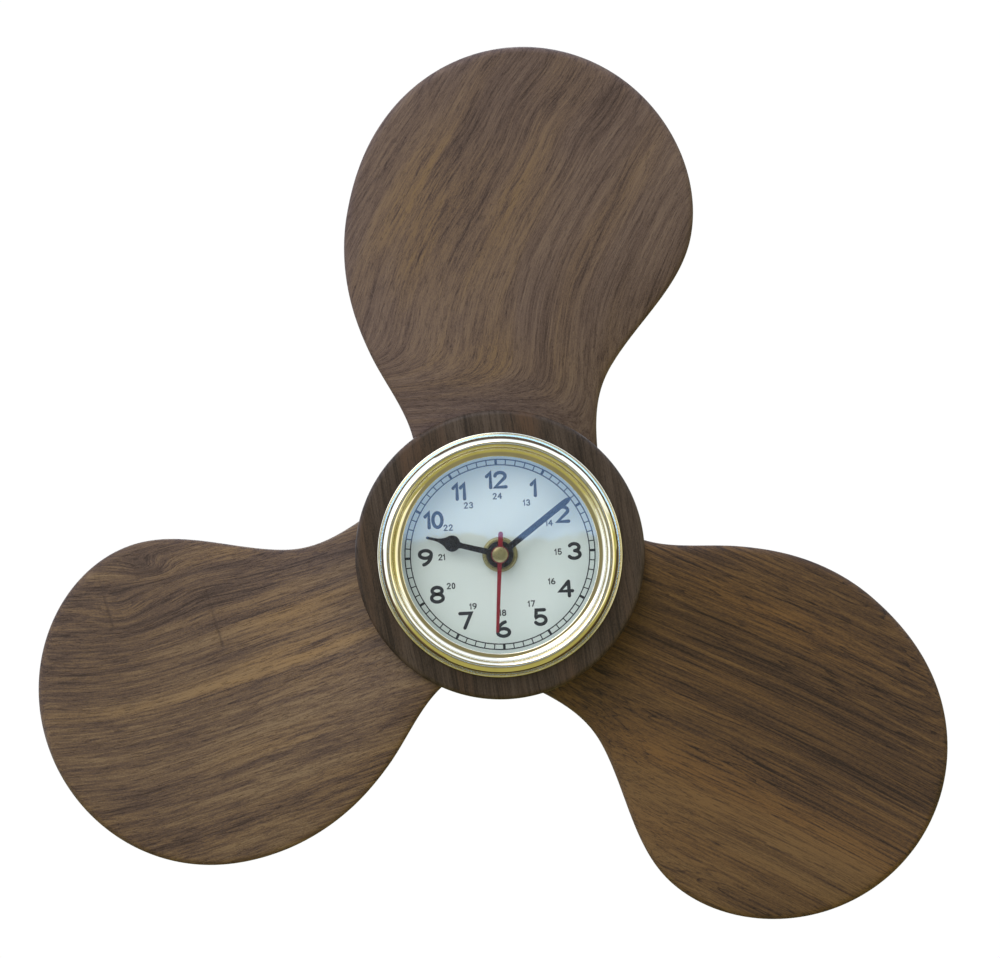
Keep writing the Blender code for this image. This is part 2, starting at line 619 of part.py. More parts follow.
def dowel(name, blade, across, start, end, radius, material=None):
    """A rod along a blade's axis, in the middle of the blade's thickness where it crosses the joint."""
    turn = math.radians(BLADES[blade][0])
    joint = math.sqrt(HUB_RADIUS ** 2 - across ** 2) + DOWEL_IN_BLADE / 2
    depth = screw_surface(joint, across)
    points, sides = [], DOWEL_SIDES
    for along in (start, end):
        for offset, rise in circle(radius, sides):
            side = across + offset
            points.append((along * math.cos(turn) - side * math.sin(turn), depth + rise,
                           along * math.sin(turn) + side * math.cos(turn)))
    faces = [list(range(sides)), list(range(sides, 2 * sides))]
    faces += [[i, (i + 1) % sides, (i + 1) % sides + sides, i + sides] for i in range(sides)]
    return mesh_object(name, points, faces, material)


def build_dowels():
    for number, (blade, end, across) in enumerate(dowel_seats()):
        name = blade.replace("blade", "dowel") + "_" + "ab"[number % 2]
        dowel(name, blade, across, end, end + dowel_length(across), DOWEL_RADIUS, "dowel_wood")


# clock head

def build_bezel():
    seat = HUB_FRONT - CLEAR
    lip = seat - BEZEL_LIP_HEIGHT
    wall = lip - BEZEL_ROLL_WALL
    crest = HUB_FRONT - BEZEL_HEIGHT
    sight = GLASS_FRONT - CLEAR
    edge = sight - BEZEL_SIGHT_EDGE
    cove = edge - BEZEL_COVE_RISE
    lip_radius = BORE_RADIUS + BEZEL_LIP_BEYOND_BORE
    roll_radius = BORE_RADIUS + BEZEL_ROLL_BEYOND_BORE
    crest_radius = BORE_RADIUS - BEZEL_CREST_INSIDE_BORE
    cove_radius = BORE_RADIUS - BEZEL_COVE_INSIDE_BORE
    sight_radius = BORE_RADIUS - BEZEL_SIGHT_INSIDE_BORE
    outer_roll = [(crest_radius + (roll_radius - crest_radius) * x, wall + (crest - wall) * z)
                  for x, z in arc(1, 0, math.pi / 2, 4)]
    inner_roll = [(crest_radius - (crest_radius - cove_radius) * x, cove + (crest - cove) * z)
                  for x, z in arc(1, math.pi / 2, 0, 3)][1:]
    groove_radius = SKIRT_BORE + SKIRT_GROOVE
    groove = DIAL_FACE + SKIRT_GROOVE_SETBACK
    land = PAN_BACK + 2 * CLEAR + RING_THICKNESS
    end = land + SKIRT_END_LAND
    profile = [
        (SKIRT_RADIUS, seat), (lip_radius, seat), (lip_radius, lip + BEZEL_LIP_CHAMFER),
        (lip_radius - BEZEL_LIP_CHAMFER, lip), (roll_radius + BEZEL_ROLL_FOOT, lip),
        (roll_radius, lip + BEZEL_ROLL_FOOT),
    ] + outer_roll + inner_roll + [
        (cove_radius - BEZEL_COVE_WIDTH, cove + BEZEL_COVE_DEPTH), (sight_radius, edge), (sight_radius, sight),
        (SKIRT_BORE, sight), (SKIRT_BORE, groove), (groove_radius, groove), (groove_radius, land),
        (SKIRT_BORE, land), (SKIRT_BORE, end), (SKIRT_RADIUS, end),
    ]
    turned("bezel", profile, "brass")
    tube("grip_sleeve", SKIRT_RADIUS + CLEAR, SKIRT_RADIUS + CLEAR + SLEEVE_THICKNESS,
         seat + CLEAR * 2, end - CLEAR, "rubber")
    ring_outer = groove_radius - CLEAR
    ring_arc = (RING_GAP_ANGLE / 2 - math.pi / 2, 3 * math.pi / 2 - RING_GAP_ANGLE / 2)
    outline = arc(ring_outer, *ring_arc, SEGMENTS) + arc(ring_outer - RING_WIDTH, *ring_arc[::-1], SEGMENTS)
    prism("retaining_ring", outline, PAN_BACK + CLEAR, PAN_BACK + CLEAR + RING_THICKNESS, "steel")


def build_dial_stack():
    turned("glass", [(0, GLASS_FRONT), (DISC_RADIUS, GLASS_FRONT), (DISC_RADIUS, GLASS_BACK), (0, GLASS_BACK)],
           "glass")
    tube("spacer_ring", DISC_RADIUS - SPACER_WALL, DISC_RADIUS, GLASS_BACK + CLEAR, DIAL_FACE - CLEAR,
         "white_plastic")
    tube("dial", BUSH_HOLE, DISC_RADIUS, DIAL_FACE, DIAL_FACE + DIAL_THICKNESS, "dial_paint")
    tube("dial_pan", BUSH_HOLE, DISC_RADIUS, PAN_FACE, PAN_BACK, "steel")
    tube("cushion_washer", BUSH_HOLE, CUSHION_RADIUS, CUSHION_FACE, CUSHION_FACE + CUSHION_THICKNESS,
         "rubber", segments=MEDIUM_SEGMENTS)
    washer_back = DIAL_FACE - CLEAR
    washer_front = washer_back - WASHER_THICKNESS
    tube("dial_washer", BUSH_HOLE, WASHER_RADIUS, washer_front, washer_back, "brass", segments=MEDIUM_SEGMENTS)
    nut_back = washer_front - CLEAR
    tube("dial_nut", BUSH_HOLE, NUT_RADIUS, nut_back - NUT_HEIGHT, nut_back, "brass", segments=MEDIUM_SEGMENTS)


# movement case and what is fixed in it

def layer(depth):
    return CASE_FRONT + depth


def build_case():
    outline = rounded_rectangle(-HALF_WIDTH, HALF_WIDTH, -HALF_HEIGHT, HALF_HEIGHT, CASE_CORNER)
    shell = prism("movement_case", outline, CASE_FRONT, CASE_RIM, "black_plastic")
    inner_corner = CASE_CORNER - CASE_WALL
    floor = CASE_FRONT + CASE_WALL
    chamber = rounded_rectangle(-INNER_WIDTH, INNER_WIDTH, PARTITION_HIGH, INNER_HEIGHT, inner_corner)
    bay = rounded_rectangle(-INNER_WIDTH, INNER_WIDTH, -INNER_HEIGHT, PARTITION_LOW, inner_corner)
    cut(shell, prism("chamber", chamber, floor, CASE_BACK), prism("bay", bay, floor, CASE_BACK))
    for side in (-1, 1):
        left, right = sorted((side * (INNER_WIDTH - NOTCH_LENGTH), side * INNER_WIDTH))
        notch = rectangle(left, right, PARTITION_LOW - inner_corner, PARTITION_HIGH + inner_corner)
        cut(shell, prism("notch", notch, floor, CASE_BACK))
    root = floor - CASE_WALL / 2
    join(shell, rod("bush", BUSH_RADIUS, BUSH_FRONT, root, segments=MEDIUM_SEGMENTS))
    join(shell, rod("minute_stud", STUD_RADIUS, root, layer(MINUTE_LAYER + WHEEL_THICKNESS) + CLEAR,
                    at=MINUTE_WHEEL_AT))
    join(shell, pivot_boss(layer(ARBOR_FRONT) + BOSS_HEIGHT, root, layer(ARBOR_FRONT) - CLEAR, THIRD_AT))
    for at in PILLARS:
        join(shell, rod("pillar", PILLAR_RADIUS, root, layer(BRIDGE_LAYER) - CLEAR, at=at))
    cut(shell, rod("bush_bore", BUSH_BORE, BUSH_FRONT - OVERRUN, floor + OVERRUN, segments=MEDIUM_SEGMENTS))


def pivot_boss(mouth, base, floor, at):
    """A boss from its base depth to its mouth, with a pivot hole as deep as its floor."""
    hole = ARBOR_RADIUS + CLEAR
    profile = [(hole, mouth), (BOSS_RADIUS, mouth), (BOSS_RADIUS, base), (0, base), (0, floor), (hole, floor)]
    return turned("boss", profile, at=at, segments=SMALL_SEGMENTS)


def build_lid():
    inner_corner = CASE_CORNER - CASE_WALL
    outline = rounded_rectangle(-HALF_WIDTH, HALF_WIDTH, PARTITION_LOW, HALF_HEIGHT, CASE_CORNER)
    lid = prism("movement_lid", outline, LID_INNER, CASE_BACK, "black_plastic")
    lid_middle = LID_INNER + LID_THICKNESS / 2
    for at in (HUB_AXIS, THIRD_AT, STEP_AT, ROTOR_AT):
        join(lid, pivot_boss(LID_INNER - BOSS_HEIGHT, lid_middle, LID_INNER - CLEAR / 2, at))
    left, low, high = INNER_WIDTH - CLEAR, PARTITION_HIGH + CLEAR, INNER_HEIGHT - CLEAR
    ridge_front = CASE_RIM - CASE_WALL
    ridge = prism("ridge", rounded_rectangle(-left, left, low, high, inner_corner), ridge_front, lid_middle)
    hollow = rounded_rectangle(CASE_WALL - left, left - CASE_WALL, low + CASE_WALL, high - CASE_WALL / 2,
                               inner_corner / 2)
    cut(ridge, prism("hollow", hollow, ridge_front - OVERRUN, CASE_BACK))
    join(lid, ridge)
    cut(lid, rod("stem_hole", KNOB_STEM + CLEAR, LID_INNER - OVERRUN, CASE_BACK + OVERRUN, at=SETTING_AT))


def build_bridge():
    left, right, top = PILLARS
    outer, side = BRIDGE_MARGIN, BRIDGE_MARGIN - CLEAR
    outline = [(left[0] - side, left[1] - outer), (right[0] + outer, right[1] - side),
               (top[0] + outer, top[1] + side), (top[0] - BRIDGE_TOP_LENGTH, top[1] + side),
               (left[0] - side, left[1] + outer)]
    front, back = layer(BRIDGE_LAYER), layer(BRIDGE_LAYER) + BRIDGE_THICKNESS
    bridge = prism("train_bridge", outline, front, back, "white_plastic")
    for at in (HUB_AXIS, THIRD_AT, STEP_AT, ROTOR_AT):
        cut(bridge, rod("pivot", ARBOR_RADIUS + CLEAR, front - OVERRUN, back + OVERRUN, at=at))


def build_motor():
    low, high = ROTOR_AT[1] - STATOR_BELOW, ROTOR_AT[1] + STATOR_ABOVE
    outline = [(STATOR_LEFT, low), (STATOR_RIGHT, low), (STATOR_RIGHT, STATOR_TOP),
               (STATOR_RIGHT - STATOR_ARM, STATOR_TOP), (STATOR_RIGHT - STATOR_ARM, high),
               (STATOR_LEFT + STATOR_ARM, high), (STATOR_LEFT + STATOR_ARM, STATOR_TOP),
               (STATOR_LEFT, STATOR_TOP)]
    front, back = layer(STATOR_LAYER), layer(STATOR_LAYER) + WHEEL_THICKNESS
    stator = prism("stator", outline, front, back, "steel")
    cut(stator, rod("rotor_hole", MAGNET_RADIUS + STATOR_GAP, front - OVERRUN, back + OVERRUN, at=ROTOR_AT))
    core_front = layer(CORE_LAYER)
    core = rectangle(STATOR_LEFT, STATOR_RIGHT, COIL_Z - CORE_WIDTH / 2, COIL_Z + CORE_WIDTH / 2)
    prism("coil_core", core, core_front, core_front + CORE_THICKNESS, "steel")
    left, right = SPOOL_LEFT + SPOOL_FLANGE_THICKNESS, SPOOL_RIGHT - SPOOL_FLANGE_THICKNESS
    spool = [(SPOOL_BORE, SPOOL_LEFT), (SPOOL_FLANGE, SPOOL_LEFT), (SPOOL_FLANGE, left), (SPOOL_CORE, left),
             (SPOOL_CORE, right), (SPOOL_FLANGE, right), (SPOOL_FLANGE, SPOOL_RIGHT), (SPOOL_BORE, SPOOL_RIGHT)]
    inside, left, right = SPOOL_CORE + CLEAR, left + CLEAR, right - CLEAR
    winding = [(inside, left), (WINDING_RADIUS, left), (WINDING_RADIUS, right), (inside, right)]
    centre = (0, core_front + CORE_THICKNESS / 2, COIL_Z)
    along_x(turned("coil_bobbin", spool, "white_plastic", segments=SMALL_SEGMENTS), centre)
    along_x(turned("coil_winding", winding, "copper", segments=SMALL_SEGMENTS), centre)


def along_x(piece, centre):
    """Turns a piece made about the Y axis to lie along X, and moves it to a centre."""
    for vertex in piece.data.vertices:
        x, y, z = vertex.co
        vertex.co = (y + centre[0] * MM, -x + centre[1] * MM, z + centre[2] * MM)


def build_electronics():
    front = layer(BOARD_LAYER)
    left = BOARD_GAP - INNER_WIDTH
    middle = left + BOARD_WIDTH / 2
    board = rectangle(left, left + BOARD_WIDTH, -BOARD_HALF_HEIGHT, BOARD_HALF_HEIGHT)
    prism("circuit_board", board, front, front + BOARD_THICKNESS, "board")
    back = front + BOARD_THICKNESS + CLEAR
    prism("control_chip", circle(CHIP_RADIUS, MEDIUM_SEGMENTS, (middle, CHIP_Z)), back, back + CHIP_THICKNESS,
          "black_plastic")
    crystal = rectangle(middle - CRYSTAL_WIDTH / 2, middle + CRYSTAL_WIDTH / 2, CRYSTAL_Z - CRYSTAL_LENGTH / 2,
                        CRYSTAL_Z + CRYSTAL_LENGTH / 2)
    prism("crystal", crystal, back, back + CRYSTAL_THICKNESS, "steel")
    for name, side, bow in (("contact_positive", 1, 0.0), ("contact_negative", -1, SPRING_BOW)):
        inner = [(CONTACT_X, BATTERY_Z - CONTACT_BEND), (CONTACT_X - bow, BATTERY_Z - CONTACT_FLAT),
                 (CONTACT_X - bow, BATTERY_Z + CONTACT_FLAT), (CONTACT_X, BATTERY_Z + CONTACT_BEND),
                 (CONTACT_X, PARTITION_HIGH + CONTACT_RISE)]
        outer = [(x + CONTACT_THICKNESS, z) for x, z in inner[::-1]]
        outline = [(side * x, z) for x, z in inner + outer]
        prism(name, outline, BATTERY_Y - CONTACT_WIDTH / 2, BATTERY_Y + CONTACT_WIDTH / 2, "steel")


def build_battery():
    start = -(BATTERY_LENGTH + NUB_LENGTH) / 2
    end = start + BATTERY_LENGTH
    shoulder = BATTERY_RADIUS - BATTERY_SHOULDER
    profile = [(0, start), (shoulder, start), (BATTERY_RADIUS, start + BATTERY_CRIMP),
               (BATTERY_RADIUS, end - BATTERY_CRIMP), (shoulder, end), (NUB_RADIUS, end),
               (NUB_RADIUS, end + NUB_LENGTH), (0, end + NUB_LENGTH)]
    battery = turned("battery", profile, "battery_jacket", segments=MEDIUM_SEGMENTS)
    along_x(battery, (0, BATTERY_Y, BATTERY_Z))


# wheels

def gear_outline(teeth, module, phase):
    """Straight-flanked teeth; phase is the angle of the first tooth's middle."""
    pitch = 2 * math.pi / teeth
    root, tip = (teeth / 2 - TOOTH_ROOT) * module, (teeth / 2 + TOOTH_TIP) * module
    flank = ((root, -ROOT_SHARE), (tip, -TIP_SHARE), (tip, TIP_SHARE), (root, ROOT_SHARE))
    return [polar(radius, phase + (tooth + share) * pitch) for tooth in range(teeth) for radius, share in flank]


def mating_phase(teeth, phase, mate_teeth, direction):
    """The first tooth of a mate, so that its gap faces a tooth of the wheel along a direction."""
    return direction + math.pi - (teeth / mate_teeth) * (phase - direction) - math.pi / mate_teeth


def wheel(name, base, others, material, at, bore=0.0):
    """A wheel: a first solid, what is joined to it, and a bore through everything."""
    body = join(base, *others)
    if bore:
        cut(body, rod("bore", bore, BUSH_FRONT - 4 * HAND_STEP, CASE_BACK, at=at, segments=SMALL_SEGMENTS))
    body.name = name
    body.data.materials.clear()
    body.data.materials.append(bpy.data.materials.get(material) or make_material(material))
    return body


def toothed(teeth, module, phase, depth, at, thickness=WHEEL_THICKNESS):
    return prism("toothed", gear_outline(TEETH[teeth], module, phase), layer(depth), layer(depth) + thickness,
                 at=at)


def build_motion_work():
    """The friction-driven side: minute arbor, minute wheel, hour wheel and setting knob."""
    half_wheel = WHEEL_THICKNESS / 2
    wheel_phase = mating_phase(TEETH["minute_pinion"], 0, TEETH["minute_wheel"], MINUTE_WHEEL_ANGLE)
    back = MINUTE_WHEEL_ANGLE + math.pi
    hour_phase = mating_phase(TEETH["hour_pinion"], 0, TEETH["hour_wheel"], back)
    setting_phase = mating_phase(TEETH["minute_wheel"], wheel_phase, TEETH["setting"], MINUTE_WHEEL_ANGLE)
    pipe_front = MINUTE_HAND_BACK - HAND_THICKNESS - CLEAR
    collar_front, collar_back = layer(COLLAR_LAYER), layer(COLLAR_LAYER) + MINUTE_COLLAR_THICKNESS
    arbor = rod("arbor", MINUTE_PIPE, pipe_front, (collar_front + collar_back) / 2)
    collar = rod("collar", MINUTE_PIPE + MINUTE_COLLAR_RIM, collar_front, collar_back)
    pinion = toothed("minute_pinion", MOTION_MODULE, 0, MINUTE_LAYER, HUB_AXIS)
    wheel("minute_arbor", pinion, [arbor, collar], "steel", HUB_AXIS, MINUTE_PIPE_BORE)
    gear = toothed("minute_wheel", MOTION_MODULE, wheel_phase, MINUTE_LAYER, MINUTE_WHEEL_AT)
    leaves = toothed("hour_pinion", HOUR_MODULE, 0, HOUR_LAYER, MINUTE_WHEEL_AT,
                     MINUTE_LAYER - HOUR_LAYER + half_wheel)
    wheel("minute_wheel", gear, [leaves], "white_plastic", MINUTE_WHEEL_AT, STUD_RADIUS + CLEAR)
    hour = toothed("hour_wheel", HOUR_MODULE, hour_phase, HOUR_LAYER, HUB_AXIS)
    pipe = rod("pipe", HOUR_PIPE, HOUR_HAND_BACK - HAND_THICKNESS - CLEAR, layer(HOUR_LAYER) + half_wheel)
    wheel("hour_wheel", hour, [pipe], "white_plastic", HUB_AXIS, MINUTE_PIPE + CLEAR)
    setting = toothed("setting", MOTION_MODULE, setting_phase, MINUTE_LAYER, SETTING_AT)
    knob_front = CASE_BACK + CLEAR
    stem = rod("stem", KNOB_STEM, layer(HOUR_LAYER), knob_front + KNOB_HEIGHT / 2, at=SETTING_AT)
    grip = gear_outline(KNOB_RIDGES, 2 * KNOB_RADIUS / (KNOB_RIDGES + 2 * TOOTH_TIP), 0)
    knob = prism("knob", grip, knob_front, knob_front + KNOB_HEIGHT, at=SETTING_AT)
    wheel("setting_knob", setting, [stem, knob], "white_plastic", SETTING_AT)


def build_going_train():
    """The driven side: rotor, step wheel, seconds wheel, third wheel and centre wheel."""
    arbor_end = LID_INNER - PIVOT_END
    centre_phase = mating_phase(TEETH["third_pinion"], 0, TEETH["centre_wheel"], THIRD_WHEEL_ANGLE + math.pi)
    third_phase = mating_phase(TEETH["seconds_pinion"], 0, TEETH["third_wheel"], THIRD_WHEEL_ANGLE)
    seconds_phase = mating_phase(TEETH["step_pinion"], 0, TEETH["seconds_wheel"], STEP_WHEEL_ANGLE + math.pi)
    step_phase = mating_phase(TEETH["rotor_pinion"], 0, TEETH["step_wheel"], ROTOR_ANGLE + math.pi)

    centre = toothed("centre_wheel", CENTRE_MODULE, centre_phase, CENTRE_LAYER, HUB_AXIS)
    wheel("centre_wheel", centre, [], "brass", HUB_AXIS, MINUTE_PIPE + CLEAR)

    third = toothed("third_wheel", THIRD_MODULE, third_phase, THIRD_LAYER, THIRD_AT)
    leaves = toothed("third_pinion", CENTRE_MODULE, 0, CENTRE_LAYER, THIRD_AT)
    arbor = rod("arbor", ARBOR_RADIUS, layer(ARBOR_FRONT), arbor_end, at=THIRD_AT)
    wheel("third_wheel", third, [leaves, arbor], "white_plastic", THIRD_AT)

    seconds = toothed("seconds_wheel", SECONDS_MODULE, seconds_phase, SECONDS_LAYER, HUB_AXIS)
    leaves = toothed("seconds_pinion", THIRD_MODULE, 0, THIRD_LAYER, HUB_AXIS,
                     SECONDS_LAYER - THIRD_LAYER + WHEEL_THICKNESS / 2)
    arbor = rod("arbor", ARBOR_RADIUS, SECOND_HAND_BACK - HAND_THICKNESS, arbor_end)
    wheel("seconds_wheel", seconds, [leaves, arbor], "white_plastic", HUB_AXIS)

    step = toothed("step_wheel", SECONDS_MODULE, step_phase, STEP_LAYER, STEP_AT)
    leaves = toothed("step_pinion", SECONDS_MODULE, 0, SECONDS_LAYER, STEP_AT,
                     STEP_LAYER - SECONDS_LAYER + WHEEL_THICKNESS / 2)
    arbor = rod("arbor", ARBOR_RADIUS, layer(BRIDGE_LAYER), arbor_end, at=STEP_AT)
    wheel("step_wheel", step, [leaves, arbor], "white_plastic", STEP_AT)

    magnet = rod("magnet", MAGNET_RADIUS, layer(MAGNET_LAYER), layer(MAGNET_LAYER) + MAGNET_HEIGHT, at=ROTOR_AT)
    leaves = toothed("rotor_pinion", SECONDS_MODULE, 0, STEP_LAYER, ROTOR_AT,
                     MAGNET_LAYER - STEP_LAYER + WHEEL_THICKNESS / 2)
    arbor = rod("arbor", ARBOR_RADIUS, layer(BRIDGE_LAYER), arbor_end, at=ROTOR_AT)
    wheel("rotor", magnet, [leaves, arbor], "steel", ROTOR_AT)


# hands

def pointed(points, angle):
    """An outline drawn for a hand at twelve o'clock, turned clockwise to its angle."""
    return [(x * math.cos(angle) + z * math.sin(angle), z * math.cos(angle) - x * math.sin(angle))
            for x, z in points]


def mirrored(right_side):
    """A whole outline from its right side, tail to tip; the tip is on the middle line."""
    return right_side + [(-x, z) for x, z in right_side[-2::-1]]


def build_hand(name, right_side, angle, back, collar, bore, material):
    """A flat hand whose back lies at a depth, with a collar of (radius, height) in front of its middle."""
    hand = prism(name, pointed(mirrored(right_side), angle), back - HAND_THICKNESS, back)
    boss = rod("collar", collar[0], back - collar[1], back, segments=MEDIUM_SEGMENTS)
    wheel(name, hand, [boss], material, HUB_AXIS, bore)


def build_hands():
    bulb = arc(HOUR_BULB[0], HOUR_BULB_START, HOUR_BULB_END, 8, (0, HOUR_BULB[1]))
    hour_bore, minute_bore = HOUR_PIPE + CLEAR, MINUTE_PIPE + CLEAR
    build_hand("hour_hand", [(HOUR_ROOT, 0), HOUR_WAIST] + bulb + [HOUR_POINT, (0, HOUR_LENGTH)], HOUR_ANGLE,
               HOUR_HAND_BACK, (hour_bore + HOUR_COLLAR_RIM, HOUR_COLLAR_HEIGHT), hour_bore, "black_paint")
    baton = [(MINUTE_HALF_WIDTH, 0), (MINUTE_HALF_WIDTH, MINUTE_LENGTH - MINUTE_TAPER), (0, MINUTE_LENGTH)]
    build_hand("minute_hand", baton, MINUTE_ANGLE, MINUTE_HAND_BACK,
               (minute_bore + MINUTE_COLLAR_FACE_RIM, MINUTE_COLLAR_HEIGHT), minute_bore, "black_paint")
    needle = [(SECOND_TAIL_HALF_WIDTH, -SECOND_TAIL), (SECOND_HALF_WIDTH, 0), (0, SECOND_LENGTH)]
    build_hand("second_hand", needle, SECOND_ANGLE, SECOND_HAND_BACK, (SECOND_HUB, SECOND_HUB_HEIGHT),
               ARBOR_RADIUS + CLEAR, "red_paint")
    back = SECOND_HAND_BACK - SECOND_HUB_HEIGHT - CLEAR
    dome = [(CAP_RADIUS * 0.6, CAP_HEIGHT * 0.85), (CAP_RADIUS, CAP_HEIGHT * 0.4), (CAP_RADIUS, 0)]
    profile = [(0, back - CAP_HEIGHT)] + [(radius, back - rise) for radius, rise in dome] + [(0, back)]
    turned("second_cap", profile, "brass", segments=MEDIUM_SEGMENTS)


def finish_shading():
    for obj in bpy.data.objects:
        if obj.type == "MESH":
            obj.data.shade_smooth()
            obj.data.set_sharp_from_angle(angle=SMOOTH_ANGLE)


def main():
    clear_scene()
    axis = bpy.data.objects.new("hub_axis", None)
    axis.location = (0, 0, -HOOK_Z * MM)
    bpy.context.scene.collection.objects.link(axis)
    build_hub()
    build_hanger()
    for name in BLADES:
        build_blade(name)
    build_dowels()
    build_bezel()
    build_dial_stack()
    build_case()
    build_lid()
    build_bridge()
    build_motor()
    build_electronics()
    build_battery()
    build_motion_work()
    build_going_train()
    build_hands()
    finish_shading()


main()
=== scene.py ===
import json
import math

import bmesh
import bpy
import numpy as np
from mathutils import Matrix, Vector


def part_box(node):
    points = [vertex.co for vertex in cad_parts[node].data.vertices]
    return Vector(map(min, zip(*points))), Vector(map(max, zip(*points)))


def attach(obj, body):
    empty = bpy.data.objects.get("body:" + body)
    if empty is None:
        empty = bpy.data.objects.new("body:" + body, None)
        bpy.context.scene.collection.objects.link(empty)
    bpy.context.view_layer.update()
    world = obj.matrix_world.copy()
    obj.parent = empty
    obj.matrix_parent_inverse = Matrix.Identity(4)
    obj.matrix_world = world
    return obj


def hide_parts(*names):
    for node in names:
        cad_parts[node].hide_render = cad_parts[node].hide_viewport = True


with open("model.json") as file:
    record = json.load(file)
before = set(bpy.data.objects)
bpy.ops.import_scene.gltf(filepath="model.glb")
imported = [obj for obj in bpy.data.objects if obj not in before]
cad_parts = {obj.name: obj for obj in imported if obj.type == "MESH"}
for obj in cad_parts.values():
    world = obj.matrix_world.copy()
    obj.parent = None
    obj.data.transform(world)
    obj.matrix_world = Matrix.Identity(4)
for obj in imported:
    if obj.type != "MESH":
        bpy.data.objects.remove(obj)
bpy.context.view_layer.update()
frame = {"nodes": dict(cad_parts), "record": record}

mm = 0.001
nodes = frame["nodes"]


def boxOf(node):
    # a CAD node's middle (x, z) in metres, then its half width, front and back in millimetres
    low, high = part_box(node)
    return ((low.x + high.x) / 2, (low.z + high.z) / 2), (high.x - low.x) / 2 / mm, low.y / mm, high.y / mm


(axisX, axisZ), hubRadius, hubFront, hubBack = boxOf("hub")
print("frame loaded:", len(nodes), "nodes")


# shader helpers

def add(tree, kind, inputs=None, **settings):
    # a new node; an input that is a socket is linked, any other is set
    made = tree.nodes.new(kind)
    for key, value in settings.items():
        setattr(made, key, value)
    for key, value in (inputs or {}).items():
        if isinstance(value, bpy.types.NodeSocket):
            tree.links.new(value, made.inputs[key])
        else:
            made.inputs[key].default_value = value
    return made


def maths(tree, operation, first, second=0.0):
    return add(tree, "ShaderNodeMath", {0: first, 1: second}, operation=operation).outputs[0]


def times(tree, first, second):
    return maths(tree, "MULTIPLY", first, second)


def total(tree, *terms):
    # the sum of all terms; a pair is a value and its weight
    parts = [times(tree, *term) if isinstance(term, tuple) else term for term in terms]
    made = parts[0]
    for part in parts[1:]:
        made = maths(tree, "ADD", made, part)
    return made


def vectors(tree, operation, first, second, output="Vector"):
    key = "Scale" if operation == "SCALE" else 1
    return add(tree, "ShaderNodeVectorMath", {0: first, key: second}, operation=operation).outputs[output]


def spread(tree, value, low, high, outLow=0.0, outHigh=1.0):
    # value between low and high becomes outLow to outHigh, held at both ends
    inputs = {"Value": value, "From Min": low, "From Max": high, "To Min": outLow, "To Max": outHigh}
    return add(tree, "ShaderNodeMapRange", inputs).outputs[0]


def colourMix(tree, share, first, second):
    return add(tree, "ShaderNodeMix", {0: share, 6: first, 7: second}, data_type="RGBA").outputs[2]


def ramp(tree, factor, stops, kind="LINEAR"):
    # colours at places from 0 to 1
    made = add(tree, "ShaderNodeValToRGB", {"Fac": factor})
    made.color_ramp.interpolation = kind
    band = made.color_ramp.elements
    for i, (place, colour) in enumerate(stops):
        element = band[i] if i < 2 else band.new(place)
        element.position = place
        element.color = (*colour, 1)
    return made.outputs["Color"]


def noise(tree, vector, scale, detail=2.0, roughness=0.5, stretch=None, shift=(0, 0, 0)):
    # noise on a vector that is first shifted and stretched, in cycles per metre
    if stretch:
        inputs = {"Vector": vector, "Location": shift, "Scale": stretch}
        vector = add(tree, "ShaderNodeMapping", inputs).outputs[0]
    inputs = {"Vector": vector, "Scale": scale, "Detail": detail, "Roughness": roughness}
    return add(tree, "ShaderNodeTexNoise", inputs).outputs[0]


def newMaterial(name, **sockets):
    material = bpy.data.materials.new(name)
    material.use_nodes = True
    tree = material.node_tree
    shader = tree.nodes["Principled BSDF"]
    for key, value in sockets.items():
        shader.inputs[key.replace("_", " ")].default_value = value
    return material, tree, shader


def objectPlace(tree):
    return add(tree, "ShaderNodeTexCoord").outputs["Object"]


def bumpInto(tree, shader, height, depth):
    bump = add(tree, "ShaderNodeBump", {"Height": height, "Distance": depth, "Strength": 1.0})
    tree.links.new(bump.outputs[0], shader.inputs["Normal"])


# wood: each piece carries its grain as a vector (across, depth, along) and its figure as (shade, gold, edge); edge is
# painted shade along a blade's rounded outline
# the left blade's colours are lighter and the right blade's darker partly because each is its own piece of wood and
# partly as painted light and painted shade, from how light falls on their pitched faces
topWood = {
    "dark": (0.040, 0.024, 0.018), "deep": (0.082, 0.051, 0.039),
    "mid": (0.109, 0.070, 0.053), "light": (0.150, 0.100, 0.072), "gold": (0.185, 0.108, 0.040),
    "seed": 1.7, "warm": 0.34, "lines": 0.40, "sway": 6 * mm, "poreDepth": 0.05 * mm,
}
leftWood = {
    "dark": (0.034, 0.019, 0.011), "deep": (0.072, 0.042, 0.026),
    "mid": (0.106, 0.062, 0.031), "light": (0.170, 0.107, 0.052), "gold": (0.215, 0.120, 0.040),
    "seed": 6.3, "warm": 0.42, "lines": 0.50, "sway": 4 * mm, "poreDepth": 0.07 * mm,
}
rightWood = {
    "dark": (0.024, 0.014, 0.009), "deep": (0.058, 0.032, 0.018),
    "mid": (0.091, 0.049, 0.021), "light": (0.140, 0.079, 0.032), "gold": (0.155, 0.072, 0.022),
    "seed": 11.9, "warm": 0.25, "lines": 0.85, "sway": 1.5 * mm, "poreDepth": 0.04 * mm,
}
hubWood = {
    "dark": (0.016, 0.010, 0.006), "deep": (0.031, 0.020, 0.012),
    "mid": (0.047, 0.031, 0.020), "light": (0.070, 0.048, 0.033), "gold": (0.075, 0.035, 0.014),
    "seed": 4.0, "warm": 0.60, "lines": 0.30, "sway": 5 * mm, "poreDepth": 0.05 * mm,
}
